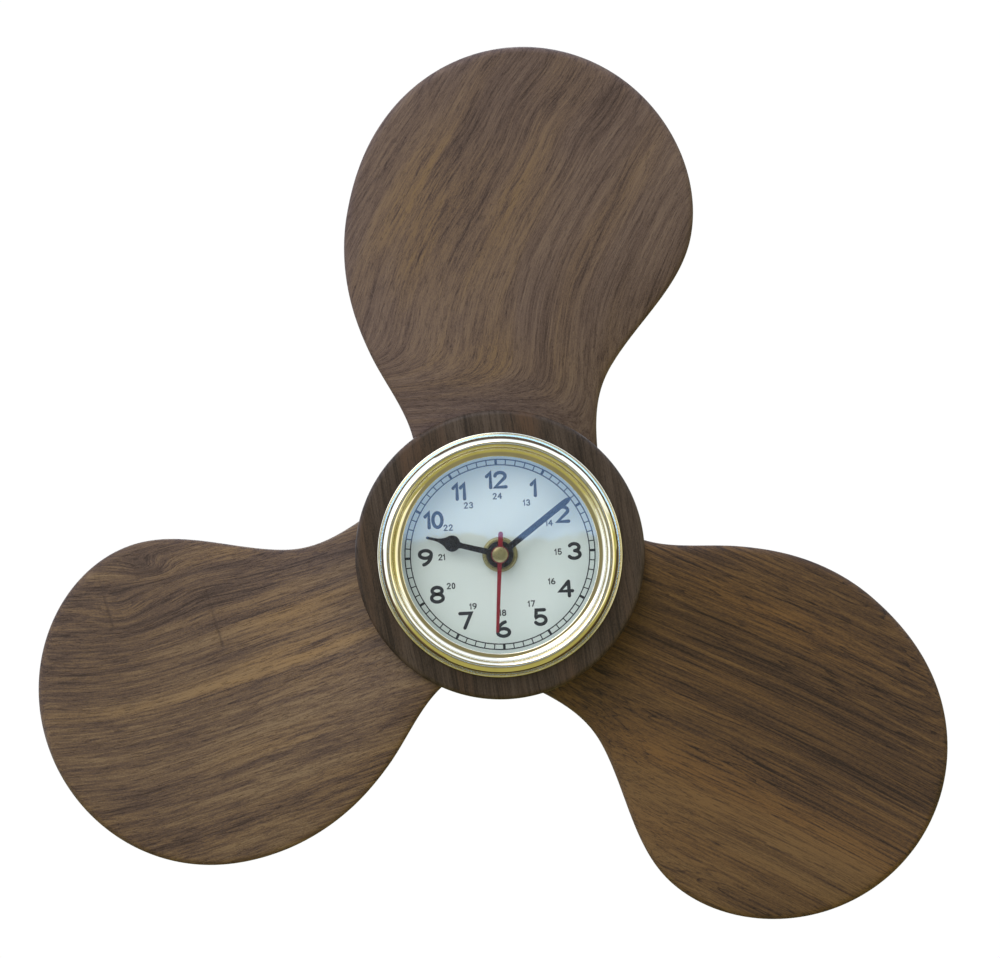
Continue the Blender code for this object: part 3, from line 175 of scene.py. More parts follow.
woodNoises = {                   # stretch in cycles per metre, detail, roughness, the range used, what it becomes
    "bands": ((75, 50, 4.5), 2.0, 0.5, 0.32, 0.68),
    "streaks": ((330, 200, 8), 3.0, 0.62, 0.33, 0.67),
    "hairs": ((1300, 800, 34), 3.0, 0.7, 0.34, 0.66),
    "pores": ((2600, 2200, 230), 1.0, 0.5, 0.60, 0.70),
    "specks": ((3600, 3600, 1500), 1.0, 0.5, 0.30, 0.70, -0.12, 0.12),
}
woodTone = {"bands": 0.24, "streaks": 0.34, "hairs": 0.42, "specks": 1.0}      # each layer's weight
woodStops = {"dark": 0.04, "deep": 0.30, "mid": 0.52, "light": 0.86}           # each colour's tone
scars = (                        # dark scrapes across the left blade: start and end from the hub's axis, width
    ((-135.4, -8.0), (-130.2, -24.6), 0.30),
    ((-99.6, -10.0), (-93.0, -31.0), 0.36),
)


def scarMask(tree, place, start, end, width):
    # 1 on a line between two points across the face and 0 past its width: distance to the nearest point of it
    flat = vectors(tree, "MULTIPLY", place, (1, 0, 1))
    first = Vector((axisX + start[0] * mm, 0, axisZ + start[1] * mm))
    run = Vector((axisX + end[0] * mm, 0, axisZ + end[1] * mm)) - first
    offset = vectors(tree, "SUBTRACT", flat, first)
    share = spread(tree, vectors(tree, "DOT_PRODUCT", offset, run / run.length_squared, "Value"), 0, 1)
    away = vectors(tree, "DISTANCE", offset, vectors(tree, "SCALE", run, share), "Value")
    return times(tree, spread(tree, away, 0.0, width * mm * 2.2, 1, 0), spread(tree, share, 0, 1, 0.3, 1))


def woodMaterial(name, wood, cuts=()):
    # the tone is the weighted sum of bands, streaks, hair lines and specks, each a noise stretched along the grain,
    # less thin growth lines at equal steps of one more noise; then golden patches, short pores and a darker edge,
    # which is painted shade
    material, tree, shader = newMaterial(name, Specular_IOR_Level=0.20)
    seed = wood["seed"]

    def grained(stretch, detail=2.0, roughness=0.5, shift=(seed, seed * 0.7, seed * 1.3)):
        return noise(tree, grain, 1.0, detail, roughness, stretch, shift)

    grain, figure = (add(tree, "ShaderNodeAttribute", attribute_name=key).outputs["Vector"]
                     for key in ("grain", "figure"))
    shade, gold, edge = add(tree, "ShaderNodeSeparateXYZ", {0: figure}).outputs
    sway = maths(tree, "SUBTRACT", grained((30, 25, 14), 3.0), 0.5)
    sway = add(tree, "ShaderNodeCombineXYZ", {"X": times(tree, sway, wood["sway"])}).outputs[0]
    grain = vectors(tree, "ADD", grain, sway)
    layers = {key: spread(tree, grained(*values[:3]), *values[3:]) for key, values in woodNoises.items()}
    growth = times(tree, grained((210, 120, 3.6), shift=(seed + 9, seed, seed)), 16.0)
    growth = spread(tree, maths(tree, "FRACT", growth), 0.0, 0.30, 1, 0)
    tone = total(tree, *((layers[key], weight) for key, weight in woodTone.items()), shade,
                 (growth, -0.42 * wood["lines"]))
    colour = ramp(tree, tone, [(place, wood[key]) for key, place in woodStops.items()])
    patches = spread(tree, grained((85, 50, 8), shift=(seed + 3.1, seed, seed)), 0.48, 0.70, 0, wood["warm"])
    share = times(tree, total(tree, patches, gold), spread(tree, tone, 0.2, 0.75))
    colour = colourMix(tree, share, colour, (*wood["gold"], 1))
    height = total(tree, (layers["hairs"], 0.25), (layers["pores"], -1.0))
    # the edge term is painted shade along the blades' rounded outlines
    dark = total(tree, (layers["pores"], 0.42), (edge, 0.20))
    place = objectPlace(tree)
    for cut in cuts:
        mask = scarMask(tree, place, *cut)
        dark = total(tree, dark, (mask, 0.6))
        height = total(tree, height, (mask, -2.0))
    colour = colourMix(tree, spread(tree, dark, 0, 1), colour, (*wood["dark"], 1))
    tree.links.new(colour, shader.inputs["Base Color"])
    tree.links.new(spread(tree, layers["hairs"], 0, 1, 0.58, 0.42), shader.inputs["Roughness"])
    bumpInto(tree, shader, height, wood["poreDepth"])
    return material


def brassMaterial(name, colour, roughness, wear=0.10):
    # polished metal with fine wipe marks and slow tarnish in its colour
    material, tree, shader = newMaterial(name, Metallic=1.0)
    place = objectPlace(tree)
    tarnish = noise(tree, place, 90.0, 3.0, 0.6)
    marks = noise(tree, place, 1.0, 2.0, 0.6, (2600, 900, 2600))
    darker = tuple(c * (1 - wear) for c in colour)
    tree.links.new(ramp(tree, tarnish, ((0.35, darker), (0.65, colour))), shader.inputs["Base Color"])
    tree.links.new(spread(tree, marks, 0.3, 0.8, roughness * 0.7, roughness * 1.5), shader.inputs["Roughness"])
    bumpInto(tree, shader, marks, 0.002 * mm)
    return material


def plainMaterial(name, colour, roughness, metallic=0.0, scale=1500.0, depth=0.01, change=0.12,
                  stretch=(1, 1, 1)):
    # moulded, painted or drawn surface: a fine noise for its texture and a slow one for its colour
    material, tree, shader = newMaterial(name, Metallic=metallic)
    place = objectPlace(tree)
    fine = noise(tree, place, scale, 2.0, 0.6, stretch)
    slow = noise(tree, place, scale * 0.08, 2.0, 0.5, stretch)
    darker = tuple(c * (1 - change) for c in colour)
    tree.links.new(ramp(tree, slow, ((0.3, darker), (0.7, colour))), shader.inputs["Base Color"])
    tree.links.new(spread(tree, fine, 0.3, 0.7, roughness * 0.85, roughness * 1.15), shader.inputs["Roughness"])
    bumpInto(tree, shader, fine, depth * mm)
    return material


def glassMaterial(name):
    # clear flat glass; lamps shine through it as if it weren't there, and a faint haze dulls its gloss
    material, tree, shader = newMaterial(name, Transmission_Weight=1.0, IOR=1.5)
    shader.inputs["Base Color"].default_value = (0.97, 0.99, 0.985, 1)
    haze = noise(tree, objectPlace(tree), 60.0, 2.0)
    tree.links.new(spread(tree, haze, 0.3, 0.7, 0.0, 0.02), shader.inputs["Roughness"])
    clear = add(tree, "ShaderNodeBsdfTransparent")
    share = add(tree, "ShaderNodeLightPath").outputs["Is Shadow Ray"]
    both = add(tree, "ShaderNodeMixShader", {0: share, 1: shader.outputs[0], 2: clear.outputs[0]})
    tree.links.new(both.outputs[0], tree.nodes["Material Output"].inputs["Surface"])
    return material


def dialMaterial(name):
    # satin silver-white lacquer on metal: a slow pearl tint and a fine orange peel
    material, tree, shader = newMaterial(name, Metallic=0.0, Coat_Weight=0.2, Coat_Roughness=0.2)
    place = objectPlace(tree)
    pearl = noise(tree, place, 26.0, 2.0)
    colour = ramp(tree, pearl, ((0.35, (0.65, 0.71, 0.66)), (0.65, (0.71, 0.76, 0.71))))
    tree.links.new(colour, shader.inputs["Base Color"])
    peel = noise(tree, place, 2400.0, 2.0)
    tree.links.new(spread(tree, peel, 0.3, 0.7, 0.34, 0.44), shader.inputs["Roughness"])
    bumpInto(tree, shader, peel, 0.003 * mm)
    return material


jacket = {                       # where each finish starts along the battery, its colour, how much of it is metal
    "bareEnd": (0.0, (0.55, 0.55, 0.56), 1.0), "body": (0.018, (0.02, 0.05, 0.12), 0.0),
    "copperBand": (0.705, (0.62, 0.30, 0.12), 0.7), "positiveEnd": (0.96, (0.6, 0.6, 0.6), 1.0),
}


def batteryMaterial(name):
    # printed jacket: a dark body, a copper band at the positive end and bare steel past the jacket
    material, tree, shader = newMaterial(name, Coat_Weight=0.3, Coat_Roughness=0.1)
    place = objectPlace(tree)
    low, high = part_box("battery")
    along = spread(tree, add(tree, "ShaderNodeSeparateXYZ", {0: place}).outputs["X"], low.x, high.x)
    colour = ramp(tree, along, [(start, tint) for start, tint, _ in jacket.values()], "CONSTANT")
    metal = ramp(tree, along, [(start, (share,) * 3) for start, _, share in jacket.values()], "CONSTANT")
    tree.links.new(colour, shader.inputs["Base Color"])
    tree.links.new(metal, shader.inputs["Metallic"])
    grit = noise(tree, place, 900.0, 2.0)
    tree.links.new(spread(tree, grit, 0.3, 0.7, 0.24, 0.36), shader.inputs["Roughness"])
    return material


materials = {
    "hub_wood": woodMaterial("hubWood", hubWood),
    "dowel_wood": plainMaterial("dowelBeech", (0.50, 0.34, 0.18), 0.6, scale=2200.0, change=0.25),
    "brass": brassMaterial("polishedBrass", (0.92, 0.86, 0.66), 0.05),
    "glass": glassMaterial("clearGlass"),
    "dial_paint": dialMaterial("dialLacquer"),
    "steel": plainMaterial("drawnSteel", (0.58, 0.58, 0.59), 0.28, 1.0, 2600.0, 0.003, stretch=(1, 0.2, 1)),
    "rubber": plainMaterial("blackRubber", (0.024, 0.024, 0.024), 0.8),
    "black_plastic": plainMaterial("blackPlastic", (0.026, 0.026, 0.028), 0.45, scale=2800.0, depth=0.02),
    "white_plastic": plainMaterial("whitePlastic", (0.76, 0.75, 0.71), 0.4),
    "black_paint": plainMaterial("blackEnamel", (0.012, 0.012, 0.016), 0.26, scale=1800.0, depth=0.004),
    "red_paint": plainMaterial("redEnamel", (0.20, 0.006, 0.016), 0.3, scale=1800.0, depth=0.004),
    "battery_jacket": batteryMaterial("batteryJacket"),
    "copper": plainMaterial("copperWire", (0.72, 0.33, 0.16), 0.35, 1.0, 1.0, 0.05, stretch=(7000, 40, 40)),
    "board": plainMaterial("boardLacquer", (0.03, 0.16, 0.07), 0.45),
}
agedBrass = brassMaterial("agedBrass", (0.40, 0.36, 0.19), 0.32, 0.25)
# the spacer ring is white plastic; its dark teal grey here is painted shade, the shadow band that the bezel throws
# round the dial's edge
spacerShade = plainMaterial("spacerShadedPlastic", (0.30, 0.37, 0.36), 0.5)
dialInk = plainMaterial("dialInk", (0.012, 0.014, 0.020), 0.5, scale=3000.0)
bladeMaterials = {
    "blade_top": woodMaterial("topBladeWood", topWood),
    "blade_left": woodMaterial("leftBladeWood", leftWood, scars),
    "blade_right": woodMaterial("rightBladeWood", rightWood),
}
print("materials made:", len(bpy.data.materials))


# mesh helpers

def linked(name, data):
    # a new object in the scene
    obj = bpy.data.objects.new(name, data)
    bpy.context.scene.collection.objects.link(obj)
    return obj


def closedMesh(name, points, faces):
    # a mesh from points in metres, its doubles merged and its faces turned outwards
    mesh = bpy.data.meshes.new(name)
    mesh.from_pydata(np.asarray(points).reshape(-1, 3).tolist(), [], [list(map(int, f)) for f in faces])
    work = bmesh.new()
    work.from_mesh(mesh)
    bmesh.ops.remove_doubles(work, verts=work.verts, dist=1e-7)
    bmesh.ops.recalc_face_normals(work, faces=work.faces)
    work.to_mesh(mesh)
    work.free()
    return linked(name, mesh)


def dressed(obj, body, slot, replaced=(), material=None, sharp=35):
    # the slot's own finish unless another is given, and edges sharper than an angle kept
    obj.data.materials.clear()
    obj.data.materials.append(material or materials[slot])
    obj.data.shade_smooth()
    obj.data.set_sharp_from_angle(angle=math.radians(sharp))
    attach(obj, body)
    if replaced:
        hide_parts(*replaced)
    return obj


def piece(name, points, faces, body, slot, replaced=(), material=None, sharp=35):
    return dressed(closedMesh(name, points, faces), body, slot, replaced, material, sharp)


def gridFaces(rows, columns, closeRows=False, closeColumns=True):
    # quads between neighbouring rows and columns; a closed direction joins its last line to its first
    row, column = np.meshgrid(np.arange(rows if closeRows else rows - 1),
                              np.arange(columns if closeColumns else columns - 1), indexing="ij")
    nextRow, nextColumn = (row + 1) % rows, (column + 1) % columns
    corners = (row * columns + column, row * columns + nextColumn, nextRow * columns + nextColumn,
               nextRow * columns + column)
    return np.stack(corners, -1).reshape(-1, 4)


def rounded(corners, steps=5):
    # corners (radius, depth, round) in millimetres: each becomes an arc that touches both of its sides, whose
    # points are the sine-weighted means of its two ends about the arc's middle
    out = []
    for i, (x, y, fillet) in enumerate(corners):
        here = np.array((x, y), float)
        if not fillet:
            out.append(here)
            continue
        back = np.array(corners[i - 1][:2], float) - here
        ahead = np.array(corners[(i + 1) % len(corners)][:2], float) - here
        back, ahead = back / np.linalg.norm(back), ahead / np.linalg.norm(ahead)
        half = math.acos(np.clip(back @ ahead, -1, 1)) / 2
        middle = here + (back + ahead) / np.linalg.norm(back + ahead) * fillet / math.sin(half)
        reach = fillet / math.tan(half)
        start, end = here + back * reach - middle, here + ahead * reach - middle
        turn = math.pi - 2 * half
        for share in np.linspace(0, 1, steps + 1):
            mixed = start * math.sin((1 - share) * turn) + end * math.sin(share * turn)
            out.append(middle + mixed / math.sin(turn))
    return out


def circle(sides):
    return np.arange(sides) * 2 * math.pi / sides


def ringPoints(profile, sides, centre=(axisX, axisZ)):
    # a profile of (radius, depth) in millimetres carried round an axis along y: x = r cos a, z = r sin a
    profile = np.array(profile, float) * mm
    radius, depth, angle = profile[:, :1], profile[:, 1:], circle(sides)
    return np.stack([centre[0] + radius * np.cos(angle), depth + 0 * angle,
                     centre[1] + radius * np.sin(angle)], -1)


def lathe(name, profile, body, slot, replaced=(), material=None, sides=192, centre=(axisX, axisZ), sharp=35):
    # a turned piece; a profile that starts and ends on the axis is closed by its poles, any other by itself
    closed = not (profile[0][0] == 0 and profile[-1][0] == 0)
    return piece(name, ringPoints(profile, sides, centre), gridFaces(len(profile), sides, closed), body, slot,
                 replaced, material, sharp)


def fluted(name, profile, body, slot, replaced, material, at, flutes, closed, sides=192):
    # a turned piece whose radius past a limit shrinks by a depth times a raised cosine to a power
    count, depth, power, limit = flutes
    wave = (0.5 + 0.5 * np.cos(count * circle(sides))) ** power
    shrink = 1 - depth * wave * (np.array(profile)[:, :1] > limit)
    centre = np.array((at[0], 0, at[1]))
    points = (ringPoints(profile, sides, at) - centre) * np.stack([shrink, np.ones_like(shrink), shrink], -1)
    piece(name, points + centre, gridFaces(len(profile), sides, closed), body, slot, replaced, material)


def arcPoints(radius, start, end, count, centre=(0.0, 0.0), squeeze=1.0):
    # points on an arc, angles in degrees counter-clockwise from +x; squeeze is width over height
    angle = np.radians(np.linspace(start, end, count))
    return np.stack([centre[0] + radius * squeeze * np.cos(angle), centre[1] + radius * np.sin(angle)], -1)


def turned(outline, degrees):
    # an outline (x, z) turned counter-clockwise about the hub's axis
    c, s = math.cos(math.radians(degrees)), math.sin(math.radians(degrees))
    return np.asarray(outline, float) @ np.array([(c, s), (-s, c)])


def bar(x0, z0, x1, z1):
    return [(x0, z0), (x1, z0), (x1, z1), (x0, z1)]


def prismParts(outline, front, back, first=0):
    # the points and faces of an outline (x, z) carried from one depth to another, all in millimetres
    outline = np.asarray(outline, float)
    count = len(outline)
    points = np.concatenate([np.insert(outline, 1, front, axis=1), np.insert(outline, 1, back, axis=1)])
    here = np.arange(count)
    after = (here + 1) % count
    walls = np.stack([here, after, after + count, here + count], -1) + first
    faces = [(here + first).tolist(), (here + count + first).tolist()] + walls.tolist()
    return points, faces


def prisms(name, parts, body, slot, replaced=(), material=None, bevel=0.0, sharp=35):
    # several outlines with their depths, from the hub's axis, in one piece
    points, faces = [], []
    for outline, front, back in parts:
        made, added = prismParts(outline, front, back, sum(len(p) for p in points))
        points.append(made)
        faces += added
    points = np.concatenate(points) * mm + (axisX, 0, axisZ)
    obj = piece(name, points, faces, body, slot, replaced, material, sharp)
    if bevel:
        bevelled(obj, bevel, 3, 40)
    return obj


def bevelled(obj, width, segments, limit):
    rounding = obj.modifiers.new("edges", "BEVEL")
    rounding.width, rounding.segments, rounding.limit_method = width * mm, segments, "ANGLE"
    rounding.angle_limit = math.radians(limit)
    return rounding


def cutBy(obj, outline, front, back):
    # cuts a prism with an outline from the hub's axis out of a piece
    points, faces = prismParts(outline, front, back)
    tool = closedMesh("cutter", points * mm + (axisX, 0, axisZ), faces)
    modifier = obj.modifiers.new("cut", "BOOLEAN")
    modifier.object = tool
    modifier.operation = "DIFFERENCE"
    bpy.context.view_layer.update()
    result = bpy.data.meshes.new_from_object(obj.evaluated_get(bpy.context.evaluated_depsgraph_get()))
    obj.modifiers.clear()
    obj.data = result
    bpy.data.objects.remove(tool)


def setGrain(obj, grainAt, figureAt):
    # stores the grain (across, depth, along) in metres and the figure (shade, gold, edge) at every vertex; both
    # functions take x and z in millimetres from the hub's axis
    place = np.zeros(len(obj.data.vertices) * 3)
    obj.data.vertices.foreach_get("co", place)
    place = place.reshape(-1, 3)
    x, z = (place[:, 0] - axisX) / mm, (place[:, 2] - axisZ) / mm
    across, along = grainAt(x, z)
    values = {"grain": (across * mm, place[:, 1], along * mm), "figure": figureAt(x, z)}
    for name, parts in values.items():
        stored = obj.data.attributes.new(name, "FLOAT_VECTOR", "POINT")
        stored.data.foreach_set("vector", np.stack(parts, -1).astype(np.float32).ravel())


def softStep(value, reach):
    # a ramp of slope 1 above zero with a soft start: reach times log(1 + e^(value / reach))
    return reach * np.logaddexp(0, value / reach)


def hump(value, reach):
    # 1 at zero, falling to both sides as e^-(value / reach)^2
    return np.exp(-(value / reach) ** 2)


def bell(x, z, atX, atZ, reachX, reachZ):
    # a hump along x times a hump along z
    return hump(x - atX, reachX) * hump(z - atZ, reachZ)


# camera, light and floor
view = {
    "lens": 200.0,
    "width": 336.0,              # millimetres that the camera takes in at the blades
    "height": 25.2,              # above the hub's axis
    "blades": -18.0,
}
sky = {
    "low": (1.45, 1.58, 1.80), "high": (1.25, 1.42, 1.85),
    "ground": (0.56, 0.53, 0.18), "deepGround": (0.46, 0.43, 0.14),
    "farSky": (0.85, 1.55, 2.90), "farGround": (0.13, 0.14, 0.12), "ring": (0.27, 0.25, 0.15),
    "horizonAt": -0.0104,        # sine of the angle at which the sky meets the ground behind the camera
    "tilt": 0.42,                # how far the sky reaches down at the left, and the ground up at the right
    "near": (-0.998, -0.97),     # y of the directions where the far sky passes into the wide one
    "ringInside": (-0.9990, -0.9984), "ringOutside": (-0.86, -0.66),   # y of the dark ring's two edges
    "strength": 0.92, "backdrop": 1.02,
}
lamps = {                        # place, size in metres, watts, colour
    "keyLamp": ((-0.9, -1.5, 1.2), 1.7, 19.0, (1.0, 0.97, 0.93)),
    "fillLamp": ((1.4, -1.4, -0.2), 1.4, 5.0, (1.0, 0.96, 0.9)),
    "backLamp": ((-0.4, 1.6, 0.8), 1.2, 10.0, (1.0, 1.0, 1.0)),
}
floorShape = {"halfSide": 1.2, "height": -0.45}


def buildCamera():
    camera = bpy.data.cameras.new("camera")
    camera.lens = view["lens"]
    cameraObject = linked("camera", camera)
    distance = view["width"] * camera.lens / camera.sensor_width
    cameraObject.location = (axisX, (view["blades"] - distance) * mm, axisZ + view["height"] * mm)
    cameraObject.rotation_euler = (math.pi / 2, 0, 0)
    bpy.context.scene.camera = cameraObject
    bpy.context.scene.view_settings.view_transform = "Standard"


def buildSky():
    # a tilted sky over ground, a narrow blue one behind the camera, and a dark ring between them that only gloss
    # shows; the camera itself sees a white backdrop
    world = bpy.data.worlds.new("studio")
    bpy.context.scene.world = world
    world.use_nodes = True
    tree = world.node_tree
    direction = add(tree, "ShaderNodeTexCoord").outputs["Generated"]
    x, y, z = add(tree, "ShaderNodeSeparateXYZ", {0: direction}).outputs
    wide = spread(tree, y, *sky["near"])
    treeTops = maths(tree, "SUBTRACT", noise(tree, direction, 150.0, 3.0), 0.5)
    level = total(tree, z, times(tree, times(tree, x, -sky["tilt"]), wide), -sky["horizonAt"], (treeTops, 0.005))
    wideSky = ramp(tree, spread(tree, level, 0, 1), ((0.0, sky["low"]), (1.0, sky["high"])))
    wideGround = ramp(tree, spread(tree, level, -1, 0), ((0.3, sky["deepGround"]), (1.0, sky["ground"])))
    upper = colourMix(tree, wide, (*sky["farSky"], 1), wideSky)
    lower = colourMix(tree, wide, (*sky["farGround"], 1), wideGround)
    soft = total(tree, level, maths(tree, "SUBTRACT", noise(tree, direction, 9.0, 3.0), 0.5))
    share = add(tree, "ShaderNodeMix", {0: wide, 2: spread(tree, level, -0.0004, 0.0004),
                                        3: spread(tree, soft, -0.16, 0.16)}).outputs[0]
    paths = add(tree, "ShaderNodeLightPath").outputs
    ring = times(tree, spread(tree, y, *sky["ringInside"]), spread(tree, y, *sky["ringOutside"], 1, 0))
    ring = times(tree, ring, paths["Is Glossy Ray"])
    light = colourMix(tree, ring, colourMix(tree, share, lower, upper), (*sky["ring"], 1))
    studio = tree.nodes["Background"]
    tree.links.new(light, studio.inputs["Color"])
    studio.inputs["Strength"].default_value = sky["strength"]
    plain = add(tree, "ShaderNodeBackground", {"Color": (1, 1, 1, 1), "Strength": sky["backdrop"]})
    both = add(tree, "ShaderNodeMixShader", {0: paths["Is Camera Ray"], 1: studio.outputs[0], 2: plain.outputs[0]})
    tree.links.new(both.outputs[0], tree.nodes["World Output"].inputs["Surface"])


def buildLamps():
    for name, (place, size, power, colour) in lamps.items():
        lamp = bpy.data.lights.new(name, "AREA")
        lamp.size, lamp.energy, lamp.color = size, power, colour
        lampObject = linked(name, lamp)
        lampObject.location = place
        aim = Vector((axisX, hubFront * mm, axisZ)) - Vector(place)
        lampObject.rotation_euler = aim.to_track_quat("-Z", "Y").to_euler()


def buildFloor():
    # one square, which neither gloss nor bounced light shows
    side = floorShape["halfSide"]
    mesh = bpy.data.meshes.new("floor")
    mesh.from_pydata([(x, y, floorShape["height"]) for x, y in bar(-side, -side, side, side)], [], [(0, 1, 2, 3)])
    mesh.materials.append(plainMaterial("paleFloor", (0.82, 0.82, 0.81), 0.7, scale=40.0, change=0.03))
    floor = linked("floor", mesh)
    floor.visible_glossy = floor.visible_diffuse = False


buildCamera()
buildSky()
buildLamps()
buildFloor()
print("stage made")


# blades: half a cosine from neck to paddle and a quarter ellipse to the tip, on a screw surface
bladeShape = {
    "neckHalfWidth": 30.9, "neckRadius": 33.6, "widestRadius": 110.9,
    "tipSway": -2.7, "neckSway": 8.9, "swayRadius": 65.5, "swayInner": 25.2, "swayOuter": 33.6,
    "pitch": 125.0, "rootThickness": 10.0, "tipThickness": 5.0, "edgeThickness": 2.8, "edgeRound": 2.0,
    "stationsIn": 64, "stationsOut": 52, "columns": 65, "seat": 0.04, "shadedEdge": 1.6,
}
blades = {                       # axis angle in degrees, tip radius, greatest half width
    "blade_top": (87.2, 170.7, 58.0),
    "blade_left": (206.6, 165.3, 57.2),
    "blade_right": (326.1, 170.8, 58.8),
}
patches = {                      # weight, middle (x, z) and reach (x, z) of each patch, from the hub's axis
    "blade_top": {
        "shade": ((-0.07, 8, 90, 26, 24), (-0.10, 22, 152, 20, 10), (0.04, -30, 120, 22, 34),
                  (-0.10, -20, 54, 18, 5), (-0.06, 44, 88, 10, 16), (0.03, 40, 125, 16, 26)),
        "gold": ((0.42, -24, 112, 18, 34), (0.25, -6, 64, 30, 9), (0.2, 4, 120, 20, 20)),
    },
    "blade_left": {
        "shade": ((-0.10, -112, -16, 34, 16), (0.08, -72, -66, 34, 24), (-0.08, -140, -50, 16, 30),
                  (0.04, -60, -30, 26, 16)),
        "gold": ((0.40, -72, -22, 22, 13), (0.12, -132, -28, 20, 16)),
    },
    "blade_right": {
        "shade": ((0.14, 55, -68, 26, 30), (-0.07, 128, -30, 26, 30), (0.06, 48, -34, 14, 12),
                  (0.06, 92, -100, 40, 16)),
        "gold": ((0.15, 70, -80, 30, 20),),
    },
}


def bladeOutline(radius, tip, widest):
    # half width, middle line and share of the way to the tip; the middle line is a hump about the neck
    s = bladeShape
    share = np.clip((radius - s["neckRadius"]) / (s["widestRadius"] - s["neckRadius"]), 0, 1)
    inner = s["neckHalfWidth"] + (widest - s["neckHalfWidth"]) * (1 - np.cos(math.pi * share)) / 2
    out = np.clip((radius - s["widestRadius"]) / (tip - s["widestRadius"]), 0, 1)
    half = np.where(radius < s["widestRadius"], inner, widest * np.sqrt(1 - out ** 2))
    reach = np.where(radius < s["swayRadius"], s["swayInner"], s["swayOuter"])
    return half, s["tipSway"] + s["neckSway"] * hump(radius - s["swayRadius"], reach), out


def buildBlade(name):
    # depth is the screw surface, pitch times angle, plus or minus half the thickness, which falls to the rounded
    # edge as a quarter ellipse
    s = bladeShape
    angle, tip, widest = blades[name]
    seat = hubRadius + s["seat"]
    inner = np.linspace(seat, s["widestRadius"], s["stationsIn"], endpoint=False)
    outer = s["widestRadius"] + (tip - s["widestRadius"]) * np.sin(np.linspace(0, math.pi / 2, s["stationsOut"]))
    stations = np.concatenate([inner, outer])[:, None]
    radius = stations + np.zeros(s["columns"])
    place = np.sin(np.linspace(-math.pi / 2, math.pi / 2, s["columns"])) + 0 * radius
    blend = np.clip((s["widestRadius"] - radius) / (s["widestRadius"] - seat), 0, 1) ** 2
    for _ in range(8):           # the root settles on the hub's round, and its neighbours follow it less and less
        half, middle, out = bladeOutline(radius, tip, widest)
        across = middle + place * half
        radius = stations + (np.sqrt(np.maximum(seat ** 2 - across ** 2, 0)) - seat) * blend
    half, middle, out = bladeOutline(radius, tip, widest)
    across = middle + place * half
    share = np.clip((radius - s["neckRadius"]) / (tip - s["neckRadius"]), 0, 1)
    thick = s["rootThickness"] + (s["tipThickness"] - s["rootThickness"]) * share
    thick = s["edgeThickness"] + (thick - s["edgeThickness"]) * (1 - place ** 4)
    beyond = np.sqrt(np.clip(out ** 2 + place ** 2 * (1 - out ** 2), 0, 1))
    inside = np.where(out > 0, (1 - beyond) * widest, half * (1 - np.abs(place)))
    near = np.clip(inside / s["edgeRound"], 0, 1)
    rise = thick / 2 * np.sqrt(np.clip(1 - (1 - near) ** 2, 0, 1))
    depth = hubFront / 2 - s["pitch"] / (2 * math.pi) * np.arctan2(across, radius)
    turn = math.radians(angle)
    x = radius * math.cos(turn) - across * math.sin(turn)
    z = radius * math.sin(turn) + across * math.cos(turn)
    frontSheet, backSheet = np.stack([x, depth - rise, z], -1), np.stack([x, depth + rise, z], -1)
    loops = np.concatenate([frontSheet, backSheet[:, -2:0:-1]], 1) * mm + (axisX, 0, axisZ)
    rows, columns = loops.shape[:2]
    root = [[i, i + 1, columns - i - 1, (columns - i) % columns] for i in range(1, s["columns"] - 2)]
    root += [[0, 1, columns - 1], [s["columns"] - 2, s["columns"] - 1, s["columns"]]]
    return piece(name + "_fine", loops, gridFaces(rows, columns).tolist() + root, "propeller", "blade_wood",
                 (name,), bladeMaterials[name], 60)


def bladeEdge(name, x, z):
    # painted shade along a blade's rounded edge: 1 on its outline, falling evenly to 0 at a distance inside it
    angle, tip, widest = blades[name]
    turn = math.radians(angle)
    along, across = x * math.cos(turn) + z * math.sin(turn), z * math.cos(turn) - x * math.sin(turn)
    half, middle, out = bladeOutline(along, tip, widest)
    place = np.abs(across - middle) / np.maximum(half, 0.5)
    beyond = np.sqrt(np.clip(out ** 2 + ((across - middle) / widest) ** 2, 0, 1))
    inside = np.where(out > 0, (1 - beyond) * widest, half * (1 - np.clip(place, 0, 1)))
    return np.clip(1 - inside / bladeShape["shadedEdge"], 0, 1)


def topGrain(x, z):
    # lines lean to the right above, stand upright lower down and run off to the right over the neck
    bend = 0.50 * 34 * np.log(np.cosh((z - 74) / 34)) + 0.12 * (z - 74)
    curl = 4.6 * softStep(56 - 0.16 * x - z, 3.6) / (1 + np.exp((x - 16) / 7))
    wave = 1.6 * np.sin((z + 0.5 * x) / 7.5) * bell(x, z, 18, 150, 26, 20)
    return (x - bend + curl + wave) / np.sqrt(1.15), z + 0.4 * x


def leftRise(x):
    # how high a line of the left blade's grain has risen: a slight slope, and a steeper one from a soft step
    return 0.03 * x + 0.31 * softStep(x + 126, 9)


def leftGrain(x, z):
    # nearly level at the far left and rising towards the hub, round an eye and a small knot near the upper edge
    eye = 4.6 * bell(x + 0.5 * (z + 4.7), z, -119, -4.7, 8.5, 3.4)
    knot = 3.2 * bell(x, z, -127, -20, 9, 6) - 2.4 * bell(x, z, -101, -12, 12, 9)
    return z - leftRise(x) + eye + knot, x + 0.25 * z


def rightGrain(x, z):
    # straight lines that fall to the right, a little steeper lower down
    fan = 0.44 + 0.0006 * (-40 - z)
    return (z + fan * x) * 0.91 + 0.4 * np.sin(x / 21), (x - 0.45 * z) * 0.6


def topLines(x, z):
    return 0, 0


def leftLines(x, z):
    # a golden streak along one line of the grain, and a dark line below it, as humps across that line
    middle = z + 50.7 - leftRise(x)
    streak = hump(middle, 1.7) * (0.55 + 0.45 * hump(x + 90, 50))
    return 0.15 * streak - 0.13 * hump(middle + 4.4, 1.5), 0.40 * streak


